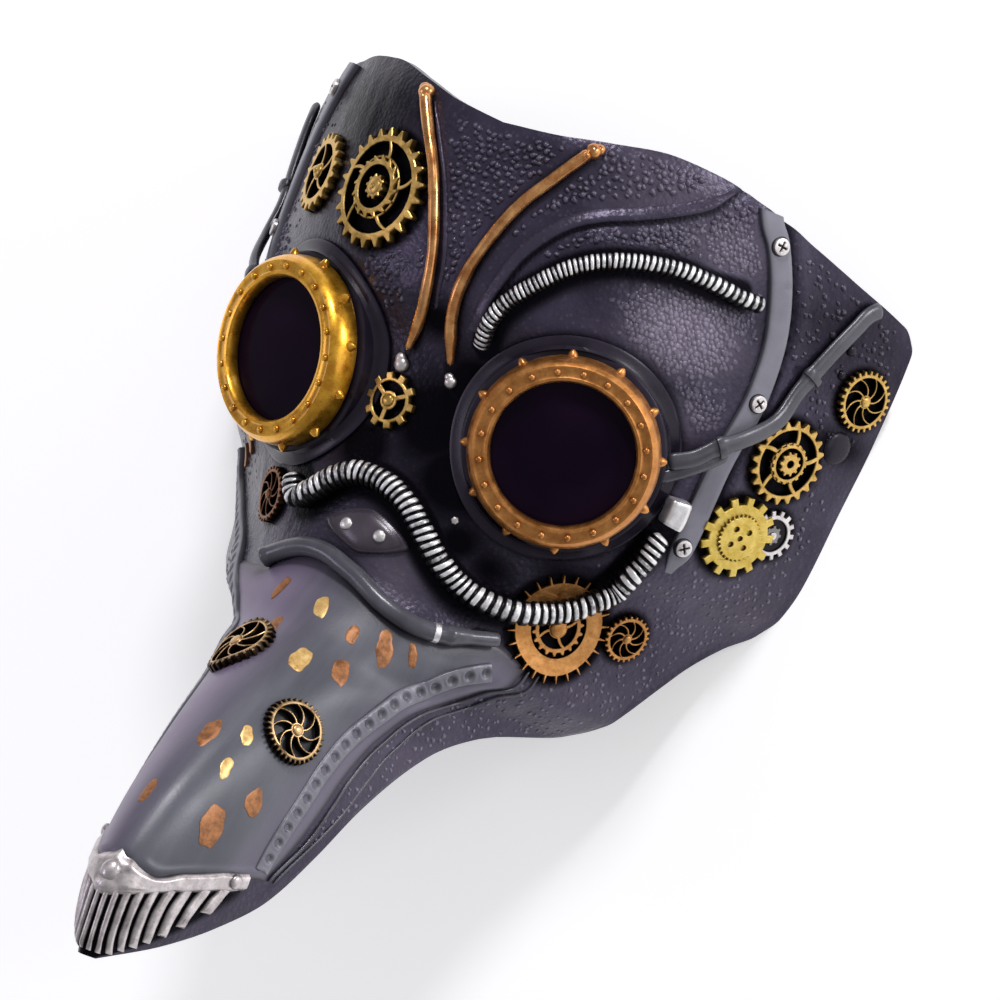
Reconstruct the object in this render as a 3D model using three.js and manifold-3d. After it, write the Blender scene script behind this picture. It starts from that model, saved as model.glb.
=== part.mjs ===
// Steampunk plague doctor mask: a hollow moulded face with a raised beak, goggles, hoses and fixed gears.
// Millimetres. It lies on its back on its rim: +Z points out of the face, +Y to the forehead, -Y to the
// beak's tip. Left is -X and right is +X, seen from in front. Tables count y from the bridge of the nose.

import * as THREE from "three";
import { mergeVertices } from "three/addons/utils/BufferGeometryUtils.js";
import Module from "manifold-3d";

const wasm = await Module();
wasm.setup();

// Driving dimensions
const WALL = 2.5;
const RIM_WALL = 2.9;
const GAP = 0.4;
const MIDDLE = { x: 0.385, y: -48.71 };
const BEAK_TIP_Y = -166;
const INNER_TIP_Y = -163.5;
const TIP_WALL_FROM_Y = -140;
const TOP_BEND_FROM_Y = 8;

// The face at each y: height of its middle, half width, height of its rim, and how square its arch is.
const SECTIONS = [
  { y: 72, crown: 80, half: 88.5, rim: 0, power: 2.3 },
  { y: 60, crown: 84, half: 89.2, rim: 0, power: 2.3 },
  { y: 43, crown: 84, half: 90.4, rim: 0, power: 2.3 },
  { y: 20, crown: 82, half: 89.2, rim: 0, power: 2.5 },
  { y: 0, crown: 75, half: 87, rim: 0, power: 2.8 },
  { y: -20, crown: 73, half: 84.8, rim: 0, power: 2.6 },
  { y: -30, crown: 73.3, half: 82, rim: 0, power: 2.4 },
  { y: -36, crown: 73.8, half: 77.6, rim: 0, power: 2.25 },
  { y: -42, crown: 74.4, half: 72.6, rim: 5.4, power: 2.1 },
  { y: -50, crown: 75.2, half: 67.4, rim: 10.8, power: 2 },
  { y: -56, crown: 76, half: 64.5, rim: 14.2, power: 2 },
  { y: -69, crown: 84, half: 58.2, rim: 21, power: 2 },
  { y: -73, crown: 87, half: 53.6, rim: 21.5, power: 2 },
  { y: -77, crown: 91, half: 47.4, rim: 23, power: 2 },
  { y: -84, crown: 98.5, half: 37.6, rim: 47, power: 2 },
  { y: -93, crown: 108, half: 31.5, rim: 61, power: 2 },
  { y: -110, crown: 123, half: 27.5, rim: 78, power: 2 },
  { y: -126, crown: 134.5, half: 25, rim: 89.5, power: 2 },
  { y: -140, crown: 141.5, half: 21.5, rim: 99.5, power: 2 },
  { y: -150, crown: 143.5, half: 17.2, rim: 113, power: 2 },
  { y: -158, crown: 143, half: 11.5, rim: 125.5, power: 2 },
  { y: BEAK_TIP_Y, crown: 142, half: 2.5, rim: 139.5, power: 2 },
];

// The top edge dips over the nose, peaks over each eye and rounds off at the temple.
const TOP_EDGE = [
  { x: 0, y: 61.8 },
  { x: 14, y: 63.3 },
  { x: 27, y: 66.2 },
  { x: 41, y: 68.8 },
  { x: 50, y: 68.2 },
  { x: 60, y: 65.4 },
  { x: 70, y: 60.5 },
  { x: 80, y: 54.7 },
  { x: 86, y: 50.9 },
  { x: 89, y: 48.2 },
  { x: 90.4, y: 43.5 },
];

// Rows of the moulded skin, closer together where the beak springs from the cheeks
const ROW_BANDS = [
  { from: TOP_EDGE[0].y, to: -52, rows: 11 },
  { from: -52, to: -96, rows: 8 },
  { from: -96, to: -150, rows: 5 },
  { from: -150, to: BEAK_TIP_Y, rows: 4 },
];
const COLUMNS = 16;

// Goggles: one tilted frame on each side, with z = 0 at the front of its ring
const EYE = { x: 42.7, y: -10.8, z: 74, splay: 24.5, droop: 10 };
const SOCKET = { x: 38, y: -9, reach: 36, depth: 6 };
const EYE_HOLE_RADIUS = 19.6;
const GOGGLE_SIDES = 24;
const RING = {
  bore: 18.2, lip: 19.4, face: 22.6, outer: 24, seat: 20.1, height: 8, lipHeight: 3.5, chamfer: 1.4,
};
const LENS = { radius: 19.7, front: -3.9, back: -5.9, bulge: 0.9 };
const LENS_HALFWAY_SHARE = 0.75;
const CUP = { bore: 20, top: 25.5, foot: 28.5, clear: 0.8 };

// Paths on the skin: plan points, with the extra height of a stretch that passes over a neighbour
const BROW_ROD = [
  { x: 23.6, y: 62 },
  { x: 18, y: 53 },
  { x: 13, y: 45 },
  { x: 8.6, y: 35 },
  { x: 5.2, y: 24 },
  { x: 4.2, y: 13 },
  { x: 6.2, y: 0.6 },
];
const BROW_HOSE = [
  { x: 13.2, y: 8.1 },
  { x: 14.3, y: 14.2 },
  { x: 17.5, y: 20.5 },
  { x: 22.5, y: 26.8 },
  { x: 28.1, y: 33 },
  { x: 34.1, y: 37.5 },
  { x: 41.7, y: 40.9 },
  { x: 49.3, y: 42.6 },
  { x: 56.2, y: 42.4 },
  { x: 61.6, y: 42.9 },
];
const NOSE_HOSE = [
  { x: -25.4, y: -38.6 },
  { x: -21.4, y: -43.3 },
  { x: -17.4, y: -40.8 },
  { x: -12, y: -35.5 },
  { x: -6.6, y: -32.7 },
  { x: 1.1, y: -32.8 },
  { x: 8.7, y: -36 },
  { x: 13.6, y: -40.5 },
  { x: 19.4, y: -46.2 },
  { x: 25.5, y: -50.5 },
  { x: 31.2, y: -51.8, lift: 1.4 },
  { x: 36.8, y: -51.1, lift: 2.3 },
  { x: 42, y: -47.6, lift: 2.3 },
  { x: 47.8, y: -42.4, lift: 2.3 },
  { x: 53.6, y: -35.2, lift: 1.4 },
  { x: 57.6, y: -27.2, lift: 1.2 },
  { x: 59.6, y: -20, lift: 1 },
];
const HOSE_CLIP = [
  { x: 60, y: -19.2, lift: 1 },
  { x: 60.9, y: -14.6, lift: 1 },
  { x: 61.3, y: -10, lift: 1 },
];
const TEMPLE_BAND = [
  { x: 62.2, y: 61.5 },
  { x: 64.2, y: 57.6 },
  { x: 67.5, y: 47.4 },
  { x: 69.7, y: 35.3 },
  { x: 70.2, y: 23.6 },
  { x: 69.8, y: 15.5 },
  { x: 67.6, y: 1.2 },
  { x: 66.2, y: -10.3 },
  { x: 65, y: -20.6 },
  { x: 63.6, y: -28 },
];
const GOGGLE_STRAP = [
  { x: 61.6, y: 0.8, lift: 3.2 },
  { x: 65, y: 5.2, lift: 3.2 },
  { x: 69, y: 9.6, lift: 3.2 },
  { x: 73.4, y: 16, lift: 1.6 },
  { x: 75.8, y: 25.4 },
  { x: 78.5, y: 36.6 },
  { x: 80.8, y: 45.4 },
  { x: 81.8, y: 49.4 },
];
const ROOT_PIPE = [
  { x: -24.4, y: -62.4 },
  { x: -21.1, y: -59.6 },
  { x: -14.3, y: -55.3 },
  { x: -6.7, y: -54.5 },
  { x: 2, y: -57.4 },
  { x: 11.6, y: -62.1 },
  { x: 19.4, y: -64.3 },
  { x: 24.8, y: -64.2 },
  { x: 30.9, y: -62.1 },
  { x: 35.9, y: -59.9 },
];
const CHEEK_STRIP = [
  { x: 66.5, y: -37.5, lift: 0.4 },
  { x: 62, y: -46, lift: 0.4 },
  { x: 53, y: -53.5, lift: 0.4 },
  { x: 44.5, y: -60, lift: 0.4 },
];
const BEAK_STRIP = [
  { x: 37.5, y: -67.8, lift: 0.4 },
  { x: 31.8, y: -72.1, lift: 0.4 },
  { x: 26, y: -79.3, lift: 0.4 },
  { x: 23.5, y: -86.3, lift: 0.4 },
  { x: 21.6, y: -94.1 },
  { x: 20.9, y: -103.3 },
  { x: 20.8, y: -113 },
  { x: 20.5, y: -123.1 },
  { x: 20.2, y: -129.5 },
];

// The seam between the beak's top panel and the shell, from the cheek down one side to the tip
const BEAK_SEAM = [
  { x: 43, y: -64 },
  { x: 41.5, y: -69.5 },
  { x: 36.4, y: -73.4 },
  { x: 30.4, y: -79.6 },
  { x: 26.6, y: -87.3 },
  { x: 24.6, y: -95.3 },
  { x: 23.8, y: -104.5 },
  { x: 23.5, y: -113.3 },
  { x: 22.8, y: -123.2 },
  { x: 20.9, y: -135 },
];
const SEAM_VERTEX_Y = -142;
const SEAM_POINTS = 13;
const SEAM_TOP_POINTS = 10;

// Cross sections, as points across and up from the skin
const ROD = { radius: 2, sides: 6, steps: 12 };
const BROW_TUBE = { radius: 2.4, sides: 7, steps: 15 };
const NOSE_TUBE = { radius: 3.3, sides: 7, steps: 25 };
const PIPE_TUBE = { radius: 2.4, sides: 7, steps: 15 };
const CLIP_TUBE = { radius: 3.4, sides: 8, steps: 3 };
const BAND = { half: 3.2, thick: 1.3, steps: 14 };
const STRAP = { half: 3, thick: 1.8, steps: 14 };
const STRIP = { half: 2, thick: 1, steps: 18 };

// Small round-headed pieces, and the shield-shaped cap on the nose
const SCREW = { radius: 2.5, height: 1.6, sides: 6 };
const SMALL_SCREW = { radius: 1.7, height: 1.2, sides: 6 };
const BAND_SCREWS = [
  { x: 64.4, y: 57.2 },
  { x: 70.2, y: 18.6 },
  { x: 64.6, y: -21.5 },
];
const BRIDGE_RIVET = { x: 7.1, y: -3.4 };
const NOSE_CAP = {
  y: -45.8, halfWidth: 12, up: 5.8, down: 5.6, corner: 1.35, edge: 1.4, height: 2.6, sides: 16, screwX: 4.6,
};
const NOSE_CAP_RINGS = [
  { share: 1, rise: 0 },
  { share: 0.7, rise: 0.75 },
  { share: 0.3, rise: 1 },
];

// Pale metal chevron at the tip, with a comb of bars that run to the rim, a boss and two rivets
const CHEVRON_EDGES = [
  { x: 0, upper: -139, lower: -150.6 },
  { x: 3.6, upper: -140.8, lower: -149.2 },
  { x: 7.6, upper: -142.2, lower: -146.8 },
  { x: 12, upper: -139, lower: -143.8 },
  { x: 16, upper: -136.2, lower: -141 },
  { x: 18.8, upper: -134, lower: -138.6 },
];
const CHEVRON = { thick: 1.4, lift: 0.4 };
const TIP_BOSS = { x: 0, y: -144.6, radius: 3, height: 1.8, sides: 8 };
const TIP_RIVET = { x: 17.4, y: -137.2, radius: 1.7, height: 1.3, sides: 6 };
const COMB = { bars: 8, first: 1.3, pitch: 1.95, half: 0.5, reach: 0.93, cells: 2 };

// Gears, each seated on the skin at x, y. Windows run from open to close, and twist turns their outer ends.
const GEARS = [
  { name: "gear_brow_small", x: -52.8, y: 35.3, radius: 10, teeth: 15, tooth: 1.5, block: 0,
    windows: 5, open: 3, close: 7, twist: 0.5, hub: 2, hubTeeth: 0, thick: 2, finish: "steel" },
  { name: "gear_brow_large", x: -27.6, y: 36, radius: 15.6, teeth: 18, tooth: 2.2, block: 0,
    windows: 5, open: 7.6, close: 11.8, twist: 0.15, hub: 6.6, hubTeeth: 10, thick: 2, lift: 0.5,
    finish: "bronze" },
  { name: "gear_nose", x: -6.8, y: -12.9, radius: 7.2, teeth: 10, tooth: 1.3, block: 0.25,
    windows: 3, open: 2.4, close: 5, twist: 0, hub: 1.7, hubTeeth: 0, thick: 1.8, finish: "bronze" },
  { name: "gear_cheek_fan", x: -34.8, y: -45.3, radius: 7.2, teeth: 13, tooth: 0.9, block: 0,
    windows: 8, open: 2, close: 5.4, twist: 0.6, hub: 1.4, hubTeeth: 0, thick: 2, finish: "copper" },
  { name: "gear_beak_side", x: -12.6, y: -83.7, radius: 9.6, teeth: 14, tooth: 1.2, block: 0,
    windows: 8, open: 2.6, close: 7.2, twist: 0.6, hub: 1.8, hubTeeth: 0, thick: 2.4, finish: "bronze" },
  { name: "gear_beak_top", x: 13.6, y: -98.4, radius: 8.4, teeth: 13, tooth: 1, block: 0,
    windows: 8, open: 2.4, close: 6.4, twist: 0.6, hub: 1.7, hubTeeth: 0, thick: 2.6, finish: "steel" },
  { name: "gear_temple_fan", x: 85.5, y: 28.9, radius: 8, teeth: 13, tooth: 1, block: 0,
    windows: 8, open: 2.2, close: 6, twist: 0.6, hub: 1.6, hubTeeth: 0, thick: 2, finish: "steel" },
  { name: "gear_temple_double", x: 77.4, y: 7.6, radius: 11, teeth: 18, tooth: 1.8, block: 0,
    windows: 5, open: 5.6, close: 8, twist: 0.1, hub: 4.8, hubTeeth: 10, thick: 2, finish: "bronze" },
  { name: "gear_temple_plate", x: 73, y: -14.2, radius: 10.6, teeth: 12, tooth: 2, block: 0.22,
    windows: 4, open: 6.6, close: 7.8, twist: 0, hub: 5.8, hubTeeth: 0, thick: 2, finish: "brass" },
  { name: "gear_temple_silver", x: 78.2, y: -10.8, radius: 6.6, teeth: 14, tooth: 1.2, block: 0,
    windows: 0, open: 0, close: 0, twist: 0, hub: 1.8, hubTeeth: 0, thick: 1.4, finish: "steel" },
  { name: "gear_cheek_ring", x: 45.1, y: -51.6, radius: 14, teeth: 20, tooth: 2.6, block: 0,
    windows: 4, open: 3.4, close: 7.4, twist: 0.3, hub: 2.4, hubTeeth: 0, thick: 1.8, finish: "copper" },
  { name: "gear_cheek_small", x: 56.6, y: -47.8, radius: 6.2, teeth: 12, tooth: 0.9, block: 0,
    windows: 8, open: 1.8, close: 4.6, twist: 0.6, hub: 1.3, hubTeeth: 0, thick: 2, finish: "copper" },
];
const WINDOW_SPOKE_SHARE = 0.3;
const HUB_RISE = 1;
const HUB_TOOTH_SHARE = 0.18;
const PLAIN_HUB_SIDES = 4;
const BLOCK_ROOT_SPREAD = 0.06;

// Room kept round a piece that crosses another, from under the skin to above both
const ROOM = { below: -3, above: 9, sides: 12 };
const PANEL_CUT_HEIGHT = 200;
const SIGHT_ROD_LENGTH = 120;
const SLOPE_STEP = 0.4;
const SLIDE_TURNS = 25;
const BUTTON = { edgeShare: 0.55, topShare: 0.72 };

const FINISHES = {
  leather: { color: 0x2b2730, roughness: 0.62, metalness: 0.1 },
  beak: { color: 0x6e6c6a, roughness: 0.5, metalness: 0.2 },
  brass: { color: 0xb98b3a, roughness: 0.4, metalness: 0.9 },
  copper: { color: 0x9a5a35, roughness: 0.45, metalness: 0.9 },
  bronze: { color: 0x6f5c40, roughness: 0.5, metalness: 0.8 },
  steel: { color: 0x8f8a8c, roughness: 0.45, metalness: 0.85 },
  silver: { color: 0xc9bdb9, roughness: 0.35, metalness: 0.9 },
  rubber: { color: 0x2a2a2c, roughness: 0.55, metalness: 0.3 },
  glass: { color: 0x0d0a12, roughness: 0.12, metalness: 0 },
};

// Value of a table's column between its rows: a cubic that never overshoots them
function along(table, key, column, at) {
  const rows = table[0][key] < table[1][key] ? table : [...table].reverse();
  const last = rows.length - 1;
  const x = THREE.MathUtils.clamp(at, rows[0][key], rows[last][key]);
  const above = rows.findIndex((row) => row[key] >= x);
  const i = Math.max(0, above - 1);
  const rise = (k) => (rows[k + 1][column] - rows[k][column]) / (rows[k + 1][key] - rows[k][key]);
  const slope = (k) => {
    if (k === 0) return rise(0);
    if (k === last) return rise(last - 1);
    const [before, after] = [rise(k - 1), rise(k)];
    return before * after <= 0 ? 0 : (2 * before * after) / (before + after);
  };
  const span = rows[i + 1][key] - rows[i][key];
  const t = (x - rows[i][key]) / span;
  const [t2, t3] = [t * t, t * t * t];
  return (2 * t3 - 3 * t2 + 1) * rows[i][column] + (t3 - 2 * t2 + t) * span * slope(i)
    + (3 * t2 - 2 * t3) * rows[i + 1][column] + (t3 - t2) * span * slope(i + 1);
}

const section = (column, y) => along(SECTIONS, "y", column, y);

// How far the eye socket sinks the skin
function socketDent(x, y) {
  const away = Math.hypot(Math.abs(x) - SOCKET.x, y - SOCKET.y) / SOCKET.reach;
  return away < 1 ? SOCKET.depth * (1 - away * away) ** 2 : 0;
}

// Height of the arch at a share of its half width
function archHeight(share, y, crown) {
  const rim = section("rim", y);
  return rim + (crown - rim) * (1 - Math.abs(share) ** section("power", y));
}

function skinHeight(x, y) {
  return archHeight(x / section("half", y), y, section("crown", y)) - socketDent(x, y);
}

function skinSlope(x, y) {
  const step = SLOPE_STEP;
  return {
    x: (skinHeight(x + step, y) - skinHeight(x - step, y)) / (2 * step),
    y: (skinHeight(x, y + step) - skinHeight(x, y - step)) / (2 * step),
  };
}

function skinNormal(x, y) {
  const slope = skinSlope(x, y);
  return new THREE.Vector3(-slope.x, -slope.y, 1).normalize();
}

// The point a given height out from the skin
function onSkin(x, y, height) {
  return new THREE.Vector3(x, y, skinHeight(x, y)).addScaledVector(skinNormal(x, y), height);
}

// Slides a point along a direction until it meets the skin
function slideToSkin(point, direction) {
  const found = point.clone();
  for (let turn = 0; turn < SLIDE_TURNS; turn += 1) {
    const slope = skinSlope(found.x, found.y);
    const rate = direction.z - slope.x * direction.x - slope.y * direction.y;
    found.addScaledVector(direction, (skinHeight(found.x, found.y) - found.z) / rate);
  }
  return found;
}

// Closed geometry from points and triangles, turned so that its faces point out
function closedGeometry(points, triangles) {
  const volume = triangles.reduce((sum, [a, b, c]) => {
    const crossed = new THREE.Vector3().crossVectors(points[b], points[c]);
    return sum + points[a].dot(crossed);
  }, 0);
  const facing = volume > 0 ? triangles : triangles.map(([a, b, c]) => [a, c, b]);
  const geometry = new THREE.BufferGeometry().setFromPoints(points);
  geometry.setIndex(facing.flat());
  geometry.computeVertexNormals();
  return geometry;
}

// A sheet with an outer and an inner grid of points, closed round the edge of the cells that it has
function sheetGeometry(outer, inner, has = () => true) {
  const [rows, columns] = [outer.length - 1, outer[0].length - 1];
  const inside = outer.flat().length;
  const inGrid = (row, column) => row >= 0 && row < rows && column >= 0 && column < columns;
  const filled = (row, column) => inGrid(row, column) && has(row, column);
  const triangles = [];
  const wall = (a, b) => triangles.push([b, a, inside + a], [b, inside + a, inside + b]);
  for (let row = 0; row < rows; row += 1) {
    for (let column = 0; column < columns; column += 1) {
      if (!filled(row, column)) continue;
      const a = row * (columns + 1) + column;
      const [b, c, d] = [a + columns + 1, a + columns + 2, a + 1];
      triangles.push([a, b, c], [a, c, d]);
      triangles.push([inside + a, inside + c, inside + b], [inside + a, inside + d, inside + c]);
      if (!filled(row, column - 1)) wall(a, b);
      if (!filled(row + 1, column)) wall(b, c);
      if (!filled(row, column + 1)) wall(c, d);
      if (!filled(row - 1, column)) wall(d, a);
    }
  }
  return closedGeometry([...outer.flat(), ...inner.flat()], triangles);
}

// Rings of points joined one to the next, with a flat fan over each end
function loftGeometry(rings) {
  const sides = rings[0].length;
  const triangles = [];
  for (let ring = 0; ring < rings.length - 1; ring += 1) {
    for (let side = 0; side < sides; side += 1) {
      const next = (side + 1) % sides;
      const [a, b] = [ring * sides + side, ring * sides + next];
      triangles.push([a, b, b + sides], [a, b + sides, a + sides]);
    }
  }
  const end = (rings.length - 1) * sides;
  for (let side = 1; side < sides - 1; side += 1) {
    triangles.push([0, side + 1, side], [end, end + side, end + side + 1]);
  }
  return closedGeometry(rings.flat(), triangles);
}

function toSolid(geometry) {
  const bare = geometry.clone();
  bare.deleteAttribute("normal");
  bare.deleteAttribute("uv");
  const merged = mergeVertices(bare);
  const vertProperties = Float32Array.from(merged.getAttribute("position").array);
  const triVerts = Uint32Array.from(merged.getIndex().array);
  return new wasm.Manifold(new wasm.Mesh({ numProp: 3, vertProperties, triVerts }));
}

function toGeometry(solid) {
  const { vertProperties, triVerts } = solid.getMesh();
  const geometry = new THREE.BufferGeometry();
  geometry.setAttribute("position", new THREE.BufferAttribute(Float32Array.from(vertProperties), 3));
  geometry.setIndex(new THREE.BufferAttribute(Uint32Array.from(triVerts), 1));
  geometry.computeVertexNormals();
  return geometry;
}

const mirrored = (path) => path.map((point) => ({ ...point, x: -point.x }));

// Lays a cross section along a path on the skin
function layAlong(path, profile, steps) {
  const knots = path.map(({ x, y, lift = 0 }) => new THREE.Vector3(x, y, lift));
  const curve = new THREE.CatmullRomCurve3(knots, false, "centripetal");
  const plan = curve.getSpacedPoints(steps);
  const centres = plan.map((point) => onSkin(point.x, point.y, GAP + point.z));
  const rings = centres.map((centre, i) => {
    const ahead = centres[Math.min(i + 1, steps)];
    const behind = centres[Math.max(i - 1, 0)];
    const forward = ahead.clone().sub(behind).normalize();
    const across = forward.clone().cross(skinNormal(plan[i].x, plan[i].y)).normalize();
    const up = across.clone().cross(forward);
    const lay = ({ x, y }) => centre.clone().addScaledVector(across, x).addScaledVector(up, y);
    return profile.map(lay);
  });
  return loftGeometry(rings);
}

function tubeProfile({ radius, sides }) {
  return Array.from({ length: sides }, (_, i) => {
    const angle = (2 * Math.PI * (i + 0.5)) / sides;
    return new THREE.Vector2(radius * Math.cos(angle), radius + radius * Math.sin(angle));
  });
}

// A flat strap with its upper edges sloped in
function strapProfile({ half, thick }) {
  const shoulder = half - thick / 3;
  return [
    new THREE.Vector2(-half, 0),
    new THREE.Vector2(half, 0),
    new THREE.Vector2(shoulder, thick),
    new THREE.Vector2(-shoulder, thick),
  ];
}

// The room that a strap or tube needs where it crosses a gear
function clearance(path, half, steps) {
  const wide = half + GAP;
  const profile = [
    new THREE.Vector2(-wide, ROOM.below),
    new THREE.Vector2(wide, ROOM.below),
    new THREE.Vector2(wide, ROOM.above),
    new THREE.Vector2(-wide, ROOM.above),
  ];
  return toSolid(layAlong(path, profile, steps));
}

// A frame on the skin: place() takes a point across, along and up from its middle, following the skin
function seat(x, y) {
  const middle = onSkin(x, y, 0);
  const up = skinNormal(x, y);
  const across = new THREE.Vector3(1, 0, 0).addScaledVector(up, -up.x).normalize();
  const forward = up.clone().cross(across);
  const place = (a, b, height) => {
    const start = middle.clone().addScaledVector(across, a).addScaledVector(forward, b);
    return slideToSkin(start, up).addScaledVector(up, height);
  };
  return { place };
}

// Moves a flat geometry drawn in across, along and up onto the skin
function bendOnto(geometry, place) {
  const position = geometry.getAttribute("position");
  for (let i = 0; i < position.count; i += 1) {
    const point = place(position.getX(i), position.getY(i), position.getZ(i));
    position.setXYZ(i, point.x, point.y, point.z);
  }
  return geometry;
}

// A low dome, lifted off the skin by what it sits on. reach(angle) is its outline, and its rings step from
// its edge to its middle, above and, where it is wide, below.
function domeSolid({ x, y, lift = 0 }, reach, rings, sides, ringsBelow) {
  const { place } = seat(x, y);
  const ringAt = (share, height) => Array.from({ length: sides }, (_, i) => {
    const angle = (2 * Math.PI * i) / sides;
    const radius = reach(angle) * share;
    return place(radius * Math.cos(angle), radius * Math.sin(angle), height);
  });
  const floor = GAP + lift;
  const below = rings.slice(0, ringsBelow).reverse().map(({ share }) => ringAt(share, floor));
  const above = rings.map(({ share, height }) => ringAt(share, floor + height));
  return toSolid(loftGeometry([...below, ...above]));
}

function buttonSolid(place, { radius, height, sides }) {
  const rings = [{ share: 1, height: height * BUTTON.edgeShare }, { share: BUTTON.topShare, height }];
  return domeSolid(place, () => radius, rings, sides, 1);
}

// Outline of a gear: pointed teeth, or square ones where block is their tip's share of the pitch
function toothedPoints(radius, tooth, teeth, block) {
  const pitch = (2 * Math.PI) / teeth;
  const polar = (r, angle) => new THREE.Vector2(r * Math.cos(angle), r * Math.sin(angle));
  const points = [];
  for (let i = 0; i < teeth; i += 1) {
    const middle = i * pitch;
    const root = radius - tooth;
    if (block === 0) {
      points.push(polar(radius, middle), polar(root, middle + pitch / 2));
    } else {
      const [tipHalf, rootHalf] = [block * pitch, (block + BLOCK_ROOT_SPREAD) * pitch];
      points.push(polar(root, middle - rootHalf), polar(radius, middle - tipHalf));
      points.push(polar(radius, middle + tipHalf), polar(root, middle + rootHalf));
    }
  }
  return points;
}

// One opening between two spokes, its outer end turned by the twist
function windowPoints({ windows, open, close, twist }, index) {
  const pitch = (2 * Math.PI) / windows;
  const from = index * pitch + (pitch * WINDOW_SPOKE_SHARE) / 2;
  const to = (index + 1) * pitch - (pitch * WINDOW_SPOKE_SHARE) / 2;
  const polar = (share, angle) => {
    const radius = open + (close - open) * share;
    const turned = angle + twist * share;
    return new THREE.Vector2(radius * Math.cos(turned), radius * Math.sin(turned));
  };
  return [polar(0, from), polar(0, to), polar(1, to), polar(1, from)];
}

function extruded(points, holes, from, to) {
  const shape = new THREE.Shape(points);
  shape.holes = holes.map((hole) => new THREE.Path(hole));
  const geometry = new THREE.ExtrudeGeometry(shape, { depth: to - from, bevelEnabled: false });
  return geometry.translate(0, 0, from);
}

function gearSolid(gear) {
  const { place } = seat(gear.x, gear.y);
  const rim = toothedPoints(gear.radius, gear.tooth, gear.teeth, gear.block);
  const holes = Array.from({ length: gear.windows }, (_, i) => windowPoints(gear, i));
  const floor = GAP + (gear.lift ?? 0);
  const top = floor + gear.thick;
  const wheel = toSolid(bendOnto(extruded(rim, holes, floor, top), place));
  const hubTooth = gear.hubTeeth > 0 ? gear.hub * HUB_TOOTH_SHARE : 0;
  const hubRim = toothedPoints(gear.hub, hubTooth, gear.hubTeeth || PLAIN_HUB_SIDES, 0);
  const hub = toSolid(bendOnto(extruded(hubRim, [], (floor + top) / 2, top + HUB_RISE), place));
  return wheel.add(hub);
}

// The room that a gear needs where it lies over a neighbour
function gearRoom(gear) {
  const { place } = seat(gear.x, gear.y);
  const round = toothedPoints(gear.radius + GAP, 0, ROOM.sides, 0);
  return toSolid(bendOnto(extruded(round, [], ROOM.below, ROOM.above), place));
}

// The moulded skin: an outer grid, and an inner grid one wall further in
function shellSolid() {
  const rowYs = ROW_BANDS.flatMap(({ from, to, rows }, band) => {
    const ys = Array.from({ length: rows + 1 }, (_, i) => from + ((to - from) * i) / rows);
    return band === 0 ? ys : ys.slice(1);
  });
  const shares = Array.from({ length: COLUMNS + 1 }, (_, i) => {
    const even = (2 * i) / COLUMNS - 1;
    return (even + Math.sin((even * Math.PI) / 2)) / 2;
  });
  const topY = TOP_EDGE[0].y;
  const bentY = (share, rowY) => {
    const rise = along(TOP_EDGE, "x", "y", Math.abs(share) * section("half", rowY)) - topY;
    const bend = THREE.MathUtils.clamp((rowY - TOP_BEND_FROM_Y) / (topY - TOP_BEND_FROM_Y), 0, 1);
    return rowY + rise * bend;
  };
  const outerPoint = (share, rowY) => {
    const y = bentY(share, rowY);
    const x = share * section("half", y);
    return new THREE.Vector3(x, y, skinHeight(x, y));
  };
  const innerPoint = (share, rowY) => {
    const bent = bentY(share, rowY);
    const pull = (INNER_TIP_Y - TIP_WALL_FROM_Y) / (BEAK_TIP_Y - TIP_WALL_FROM_Y);
    const y = bent < TIP_WALL_FROM_Y ? TIP_WALL_FROM_Y + (bent - TIP_WALL_FROM_Y) * pull : bent;
    const x = share * (section("half", y) - RIM_WALL);
    const crown = section("crown", y) - WALL * Math.hypot(1, skinSlope(0, y).y);
    return new THREE.Vector3(x, y, archHeight(share, y, crown) - socketDent(x, y));
  };
  const outer = rowYs.map((y) => shares.map((share) => outerPoint(share, y)));
  const inner = rowYs.map((y) => shares.map((share) => innerPoint(share, y)));
  return toSolid(sheetGeometry(outer, inner));
}

// Plan of the beak's top panel, moved out from its seam by a margin
function beakPanelOutline(margin) {
  const smooth = (path, count) => {
    const knots = path.map(({ x, y }) => new THREE.Vector2(x, y));
    return new THREE.SplineCurve(knots).getPoints(count);
  };
  const right = smooth(BEAK_SEAM, SEAM_POINTS);
  const left = smooth(mirrored(BEAK_SEAM), SEAM_POINTS).reverse();
  const top = smooth(ROOT_PIPE, SEAM_TOP_POINTS);
  const outline = [...top, ...right, new THREE.Vector2(0, SEAM_VERTEX_Y), ...left];
  return outline.map((point, i) => {
    const ahead = outline[(i + 1) % outline.length];
    const behind = outline[(i + outline.length - 1) % outline.length];
    const forward = ahead.clone().sub(behind).normalize();
    return new THREE.Vector2(point.x + forward.y * -margin, point.y + forward.x * margin);
  });
}

function prism(outline) {
  return toSolid(extruded(outline, [], 0, PANEL_CUT_HEIGHT));
}

// Goggle frame on one side: its matrix has z along the line of sight
function goggleFrame(side) {
  const splay = THREE.MathUtils.degToRad(EYE.splay);
  const droop = THREE.MathUtils.degToRad(EYE.droop);
  const level = new THREE.Vector3(side * Math.sin(splay), 0, Math.cos(splay));
  const sight = level.multiplyScalar(Math.cos(droop)).setY(-Math.sin(droop));
  const across = new THREE.Vector3(0, 1, 0).cross(sight).normalize();
  const frame = new THREE.Matrix4().makeBasis(across, sight.clone().cross(across), sight);
  return frame.setPosition(side * EYE.x, EYE.y, EYE.z);
}

// Turns a closed profile of radius and height about z
function turned(profile) {
  const closed = [...profile, profile[0]].map(([radius, height]) => new THREE.Vector2(radius, height));
  const geometry = new THREE.LatheGeometry(closed, GOGGLE_SIDES).rotateX(Math.PI / 2);
  return toGeometry(toSolid(geometry));
}

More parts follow.
